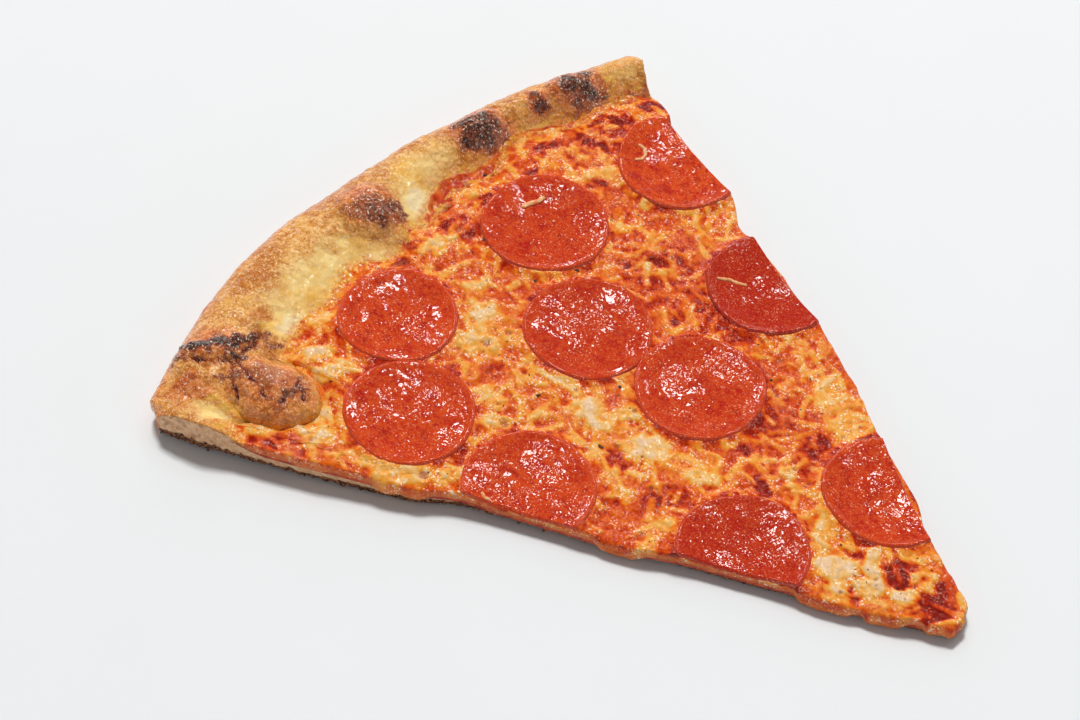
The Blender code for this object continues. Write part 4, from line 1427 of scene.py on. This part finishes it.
def cheese_material():
    paint = Paint("melted_mozzarella")
    broad = paint.noise(12.0, 3.0, 0.6)
    middle = paint.noise(3.0, 4.0, 0.65)
    fine = paint.noise(1.1, 3.0, 0.65)
    level = paint.plus(0.35, paint.times(paint.number("high"), 0.22))
    level = paint.plus(level, paint.times(paint.number("shred"), 0.42))
    level = paint.plus(level, paint.times(paint.number("yellow"), 0.14))
    level = paint.plus(level, paint.times(paint.number("curd"), 0.70))
    level = paint.plus(level, paint.times(paint.number("oily"), -0.20))
    level = paint.plus(level, paint.times(paint.number("sauce"), -0.46))
    level = paint.plus(level, paint.times(paint.plus(broad, -0.5), 0.25))
    level = paint.plus(level, paint.times(paint.plus(middle, -0.5), 0.65))
    level = paint.plus(level, paint.times(paint.plus(fine, -0.5), 0.6))
    colour = linear(132, 26, 12)
    for start, end, shade in CHEESE_RAMP:
        colour = paint.mix(paint.step(level, start, end), colour, linear(*shade))
    shore = paint.plus(paint.number("edge"), paint.times(paint.plus(middle, -0.5), 1.6))
    colour = paint.mix(paint.step(shore, 0.45, 1.05, 0.0, 0.8), colour,
                       paint.mix(paint.step(fine, 0.4, 0.6), linear(222, 120, 40), linear(240, 184, 80)))
    # Painted shade: the cheese's side down the cuts is coloured darker orange, more so further down.
    under = paint.plus(paint.number("side"), paint.times(paint.plus(middle, -0.5), 0.8))
    colour = paint.mix(paint.step(under, 0.25, 0.7, 0.0, 0.75), colour, linear(226, 124, 62))
    burnt = paint.plus(paint.number("brown"), paint.times(paint.plus(fine, -0.5), 0.6))
    colour = paint.mix(paint.step(burnt, 0.3, 0.9, 0.0, 0.7), colour, linear(168, 66, 34))
    spots = paint.step(paint.plus(paint.cells(3.1), paint.times(paint.plus(fine, -0.5), 0.8)), 0.16, 0.04)
    colour = paint.mix(paint.times(spots, 0.6), colour, linear(166, 60, 28))
    # Painted highlights: bright cream specks mixed into the colour in clusters, fewer over the bare sauce.
    cheese_painted_glints = paint.times(paint.step(paint.noise(0.7, 1.0), 0.57, 0.65), paint.step(paint.noise(5.0, 2.0), 0.4, 0.62))
    cheese_painted_glints = paint.times(cheese_painted_glints, paint.step(level, 0.2, 0.6, 0.2, 0.85))
    colour = paint.mix(cheese_painted_glints, colour, linear(255, 238, 208))
    grain = paint.plus(paint.noise(3.0, 1.0), paint.times(paint.noise(1.3, 0.0), 0.3))
    paint.set(Base_Color=colour, Normal=paint.bump(grain, 0.7), Roughness=0.07)
    paint.set(Specular_IOR_Level=paint.step(level, 0.1, 0.7, 0.22, 0.42))
    return paint.material


def pepperoni_material():
    made = bpy.data.materials.get("pepperoni_meat")
    if made:
        return made
    paint = Paint("pepperoni_meat")
    blot = paint.noise(8.0, 3.0, 0.6)
    middle = paint.noise(2.2, 4.0, 0.65)
    fine = paint.noise(0.8, 3.0, 0.6)
    meat = paint.mix(paint.step(blot, 0.35, 0.65), linear(182, 28, 12), linear(208, 60, 18))
    meat = paint.mix(paint.step(middle, 0.42, 0.60, 0.0, 0.75), meat, linear(218, 78, 22))
    fat = paint.step(paint.plus(paint.cells(2.3), paint.times(paint.plus(fine, -0.5), 0.5)), 0.26, 0.12)
    meat = paint.mix(paint.times(fat, 0.35), meat, linear(230, 126, 56))
    dark = paint.step(paint.noise(4.2, 4.0, 0.6), 0.55, 0.66)
    meat = paint.mix(paint.times(dark, 0.6), meat, linear(160, 24, 14))
    band = paint.step(paint.plus(paint.number("gap"), paint.times(paint.plus(middle, -0.5), 3.0)), 2.6, 1.0)
    meat = paint.mix(paint.times(band, 0.4), meat, linear(218, 76, 20))
    meat = paint.mix(paint.times(paint.number("side"), 0.7), meat, linear(206, 60, 18))
    meat = paint.mix(paint.times(paint.number("tone"), 0.8), meat, linear(172, 26, 14))
    tiny = paint.step(paint.noise(0.7, 1.0, 0.5), 0.52, 0.64, 0.0, 0.28)
    meat = paint.mix(tiny, meat, linear(228, 112, 50))
    grain = paint.plus(paint.times(paint.noise(1.7, 1.0), 0.6),
                       paint.times(paint.noise(0.8, 0.0), 0.25))
    grain = paint.plus(grain, paint.times(paint.noise(4.0, 1.0), 0.4))
    # Painted highlights: pale pink specks mixed into the meat's colour in clusters.
    pepperoni_painted_glints = paint.times(paint.step(paint.noise(0.6, 1.0), 0.62, 0.7), paint.step(paint.noise(8.0, 2.0), 0.4, 0.65, 0.1, 0.5))
    meat = paint.mix(pepperoni_painted_glints, meat, linear(255, 204, 172))
    grain = paint.times(grain, paint.step(paint.noise(9.0, 2.0), 0.38, 0.64, 0.25, 1.1))
    paint.set(Base_Color=meat, Normal=paint.bump(grain, 0.24), Roughness=0.06)
    paint.set(Specular_IOR_Level=0.5)
    return paint.material


def oil_material():
    paint = Paint("orange_oil")
    colour = paint.mix(paint.step(paint.noise(3.0, 3.0), 0.35, 0.65),
                       linear(222, 92, 20), linear(236, 140, 44))
    normal = paint.bump(paint.noise(3.0, 1.0), 0.08)
    paint.set(Base_Color=colour, Normal=normal, Roughness=0.05, Specular_IOR_Level=0.6)
    return paint.material


def shred_material():
    paint = Paint("loose_shred")
    colour = paint.mix(paint.step(paint.noise(1.6, 3.0), 0.35, 0.65),
                       linear(226, 132, 70), linear(240, 184, 128))
    paint.set(Base_Color=colour, Roughness=0.1, Normal=paint.bump(paint.noise(1.2), 0.15))
    return paint.material


def herb_material():
    paint = Paint("dried_herb")
    colour = paint.mix(paint.step(paint.noise(0.6, 2.0), 0.4, 0.6),
                       linear(60, 38, 22), linear(104, 58, 30))
    paint.set(Base_Color=colour, Roughness=0.5, Normal=paint.bump(paint.noise(0.4), 0.1))
    return paint.material


def floor_material():
    paint = Paint("pale_floor")
    colour = paint.mix(paint.noise(40.0, 2.0), linear(234, 236, 236), linear(236, 238, 238))
    paint.set(Base_Color=colour, Roughness=0.7, Specular_IOR_Level=0.2)
    return paint.material


# ---------------------------------------------------------------- studio


CAMERA_PLACE = (139.34, -395.15, 584.85)
CAMERA_RIGHT = (0.74326, 0.66767, 0.04217)
CAMERA_UP = (-0.53034, 0.54962, 0.64549)
CAMERA_LENS = 78.49


def make_camera():
    data = bpy.data.cameras.new("camera")
    data.lens = CAMERA_LENS
    data.sensor_width = 36.0
    data.clip_start = 0.01
    camera = bpy.data.objects.new("camera", data)
    right, up = Vector(CAMERA_RIGHT).normalized(), Vector(CAMERA_UP).normalized()
    turn = Matrix((right, up, right.cross(up))).transposed()
    camera.matrix_world = turn.to_4x4()
    camera.location = Vector(CAMERA_PLACE) * MM + Vector((PLACE[0], PLACE[1], 0.0)) * MM
    bpy.context.scene.collection.objects.link(camera)
    bpy.context.scene.camera = camera


def make_floor():
    mesh = bmesh.new()
    bmesh.ops.create_grid(mesh, x_segments=4, y_segments=4, size=3.0)
    data = bpy.data.meshes.new("floor")
    mesh.to_mesh(data)
    mesh.free()
    data.materials.append(floor_material())
    floor = bpy.data.objects.new("floor", data)
    floor.location.z = -0.0002
    bpy.context.scene.collection.objects.link(floor)


def make_light(name, kind, azimuth, elevation, energy, size, distance=1.2):
    """A light that looks at the slice. Azimuth 0 is towards -Y and 90 towards +X."""
    data = bpy.data.lights.new(name, kind)
    data.energy = energy
    if kind == "SUN":
        data.angle = math.radians(size)
    else:
        data.shape = "DISK"
        data.size = size
    turn, up = math.radians(azimuth), math.radians(elevation)
    away = Vector((math.sin(turn) * math.cos(up), -math.cos(turn) * math.cos(up), math.sin(up)))
    light = bpy.data.objects.new(name, data)
    light.location = away * distance
    light.rotation_euler = away.to_track_quat("Z", "Y").to_euler()
    bpy.context.scene.collection.objects.link(light)
    return light


# Small bright lights behind the slice, as azimuth and elevation, for the wet highlights.
SPARKLES = ((203, 50), (238, 46), (222, 63), (226, 27), (168, 63))
# The sky's brightness: from this height and brightness near the floor to these overhead.
SKY = (0.15, 0.6, 0.8, 0.16)


def make_studio():
    scene = bpy.context.scene
    world = bpy.data.worlds.new("studio")
    world.use_nodes = True
    tree = world.node_tree
    background = tree.nodes["Background"]
    background.inputs["Color"].default_value = (0.97, 0.98, 1.0, 1.0)
    # Bright all round near the floor and darker overhead, so that gloss stays clear.
    around = tree.nodes.new("ShaderNodeTexCoord").outputs["Generated"]
    split = tree.nodes.new("ShaderNodeSeparateXYZ")
    tree.links.new(around, split.inputs[0])
    fall = tree.nodes.new("ShaderNodeMapRange")
    fall.interpolation_type = "SMOOTHSTEP"
    tree.links.new(split.outputs["Z"], fall.inputs["Value"])
    for label, value in zip(("From Min", "From Max", "To Min", "To Max"), SKY):
        fall.inputs[label].default_value = value
    tree.links.new(fall.outputs[0], background.inputs["Strength"])
    scene.world = world
    scene.view_settings.view_transform = "Standard"
    key = make_light("key", "SUN", 232, 60, 2.36, 12)
    key.visible_glossy = False
    for number, (azimuth, elevation) in enumerate(SPARKLES):
        make_light(f"sparkle_{number + 1}", "AREA", azimuth, elevation, 0.6, 0.1)


make_camera()
make_studio()
make_floor()
slice_field = make_field()
make_bread()
make_sauce(slice_field)
make_cheese(slice_field)
for index, values in enumerate(PEPPERONI):
    make_pepperoni(index + 1, *values)
make_oil(slice_field)
make_loose_shreds()
make_herbs(slice_field)
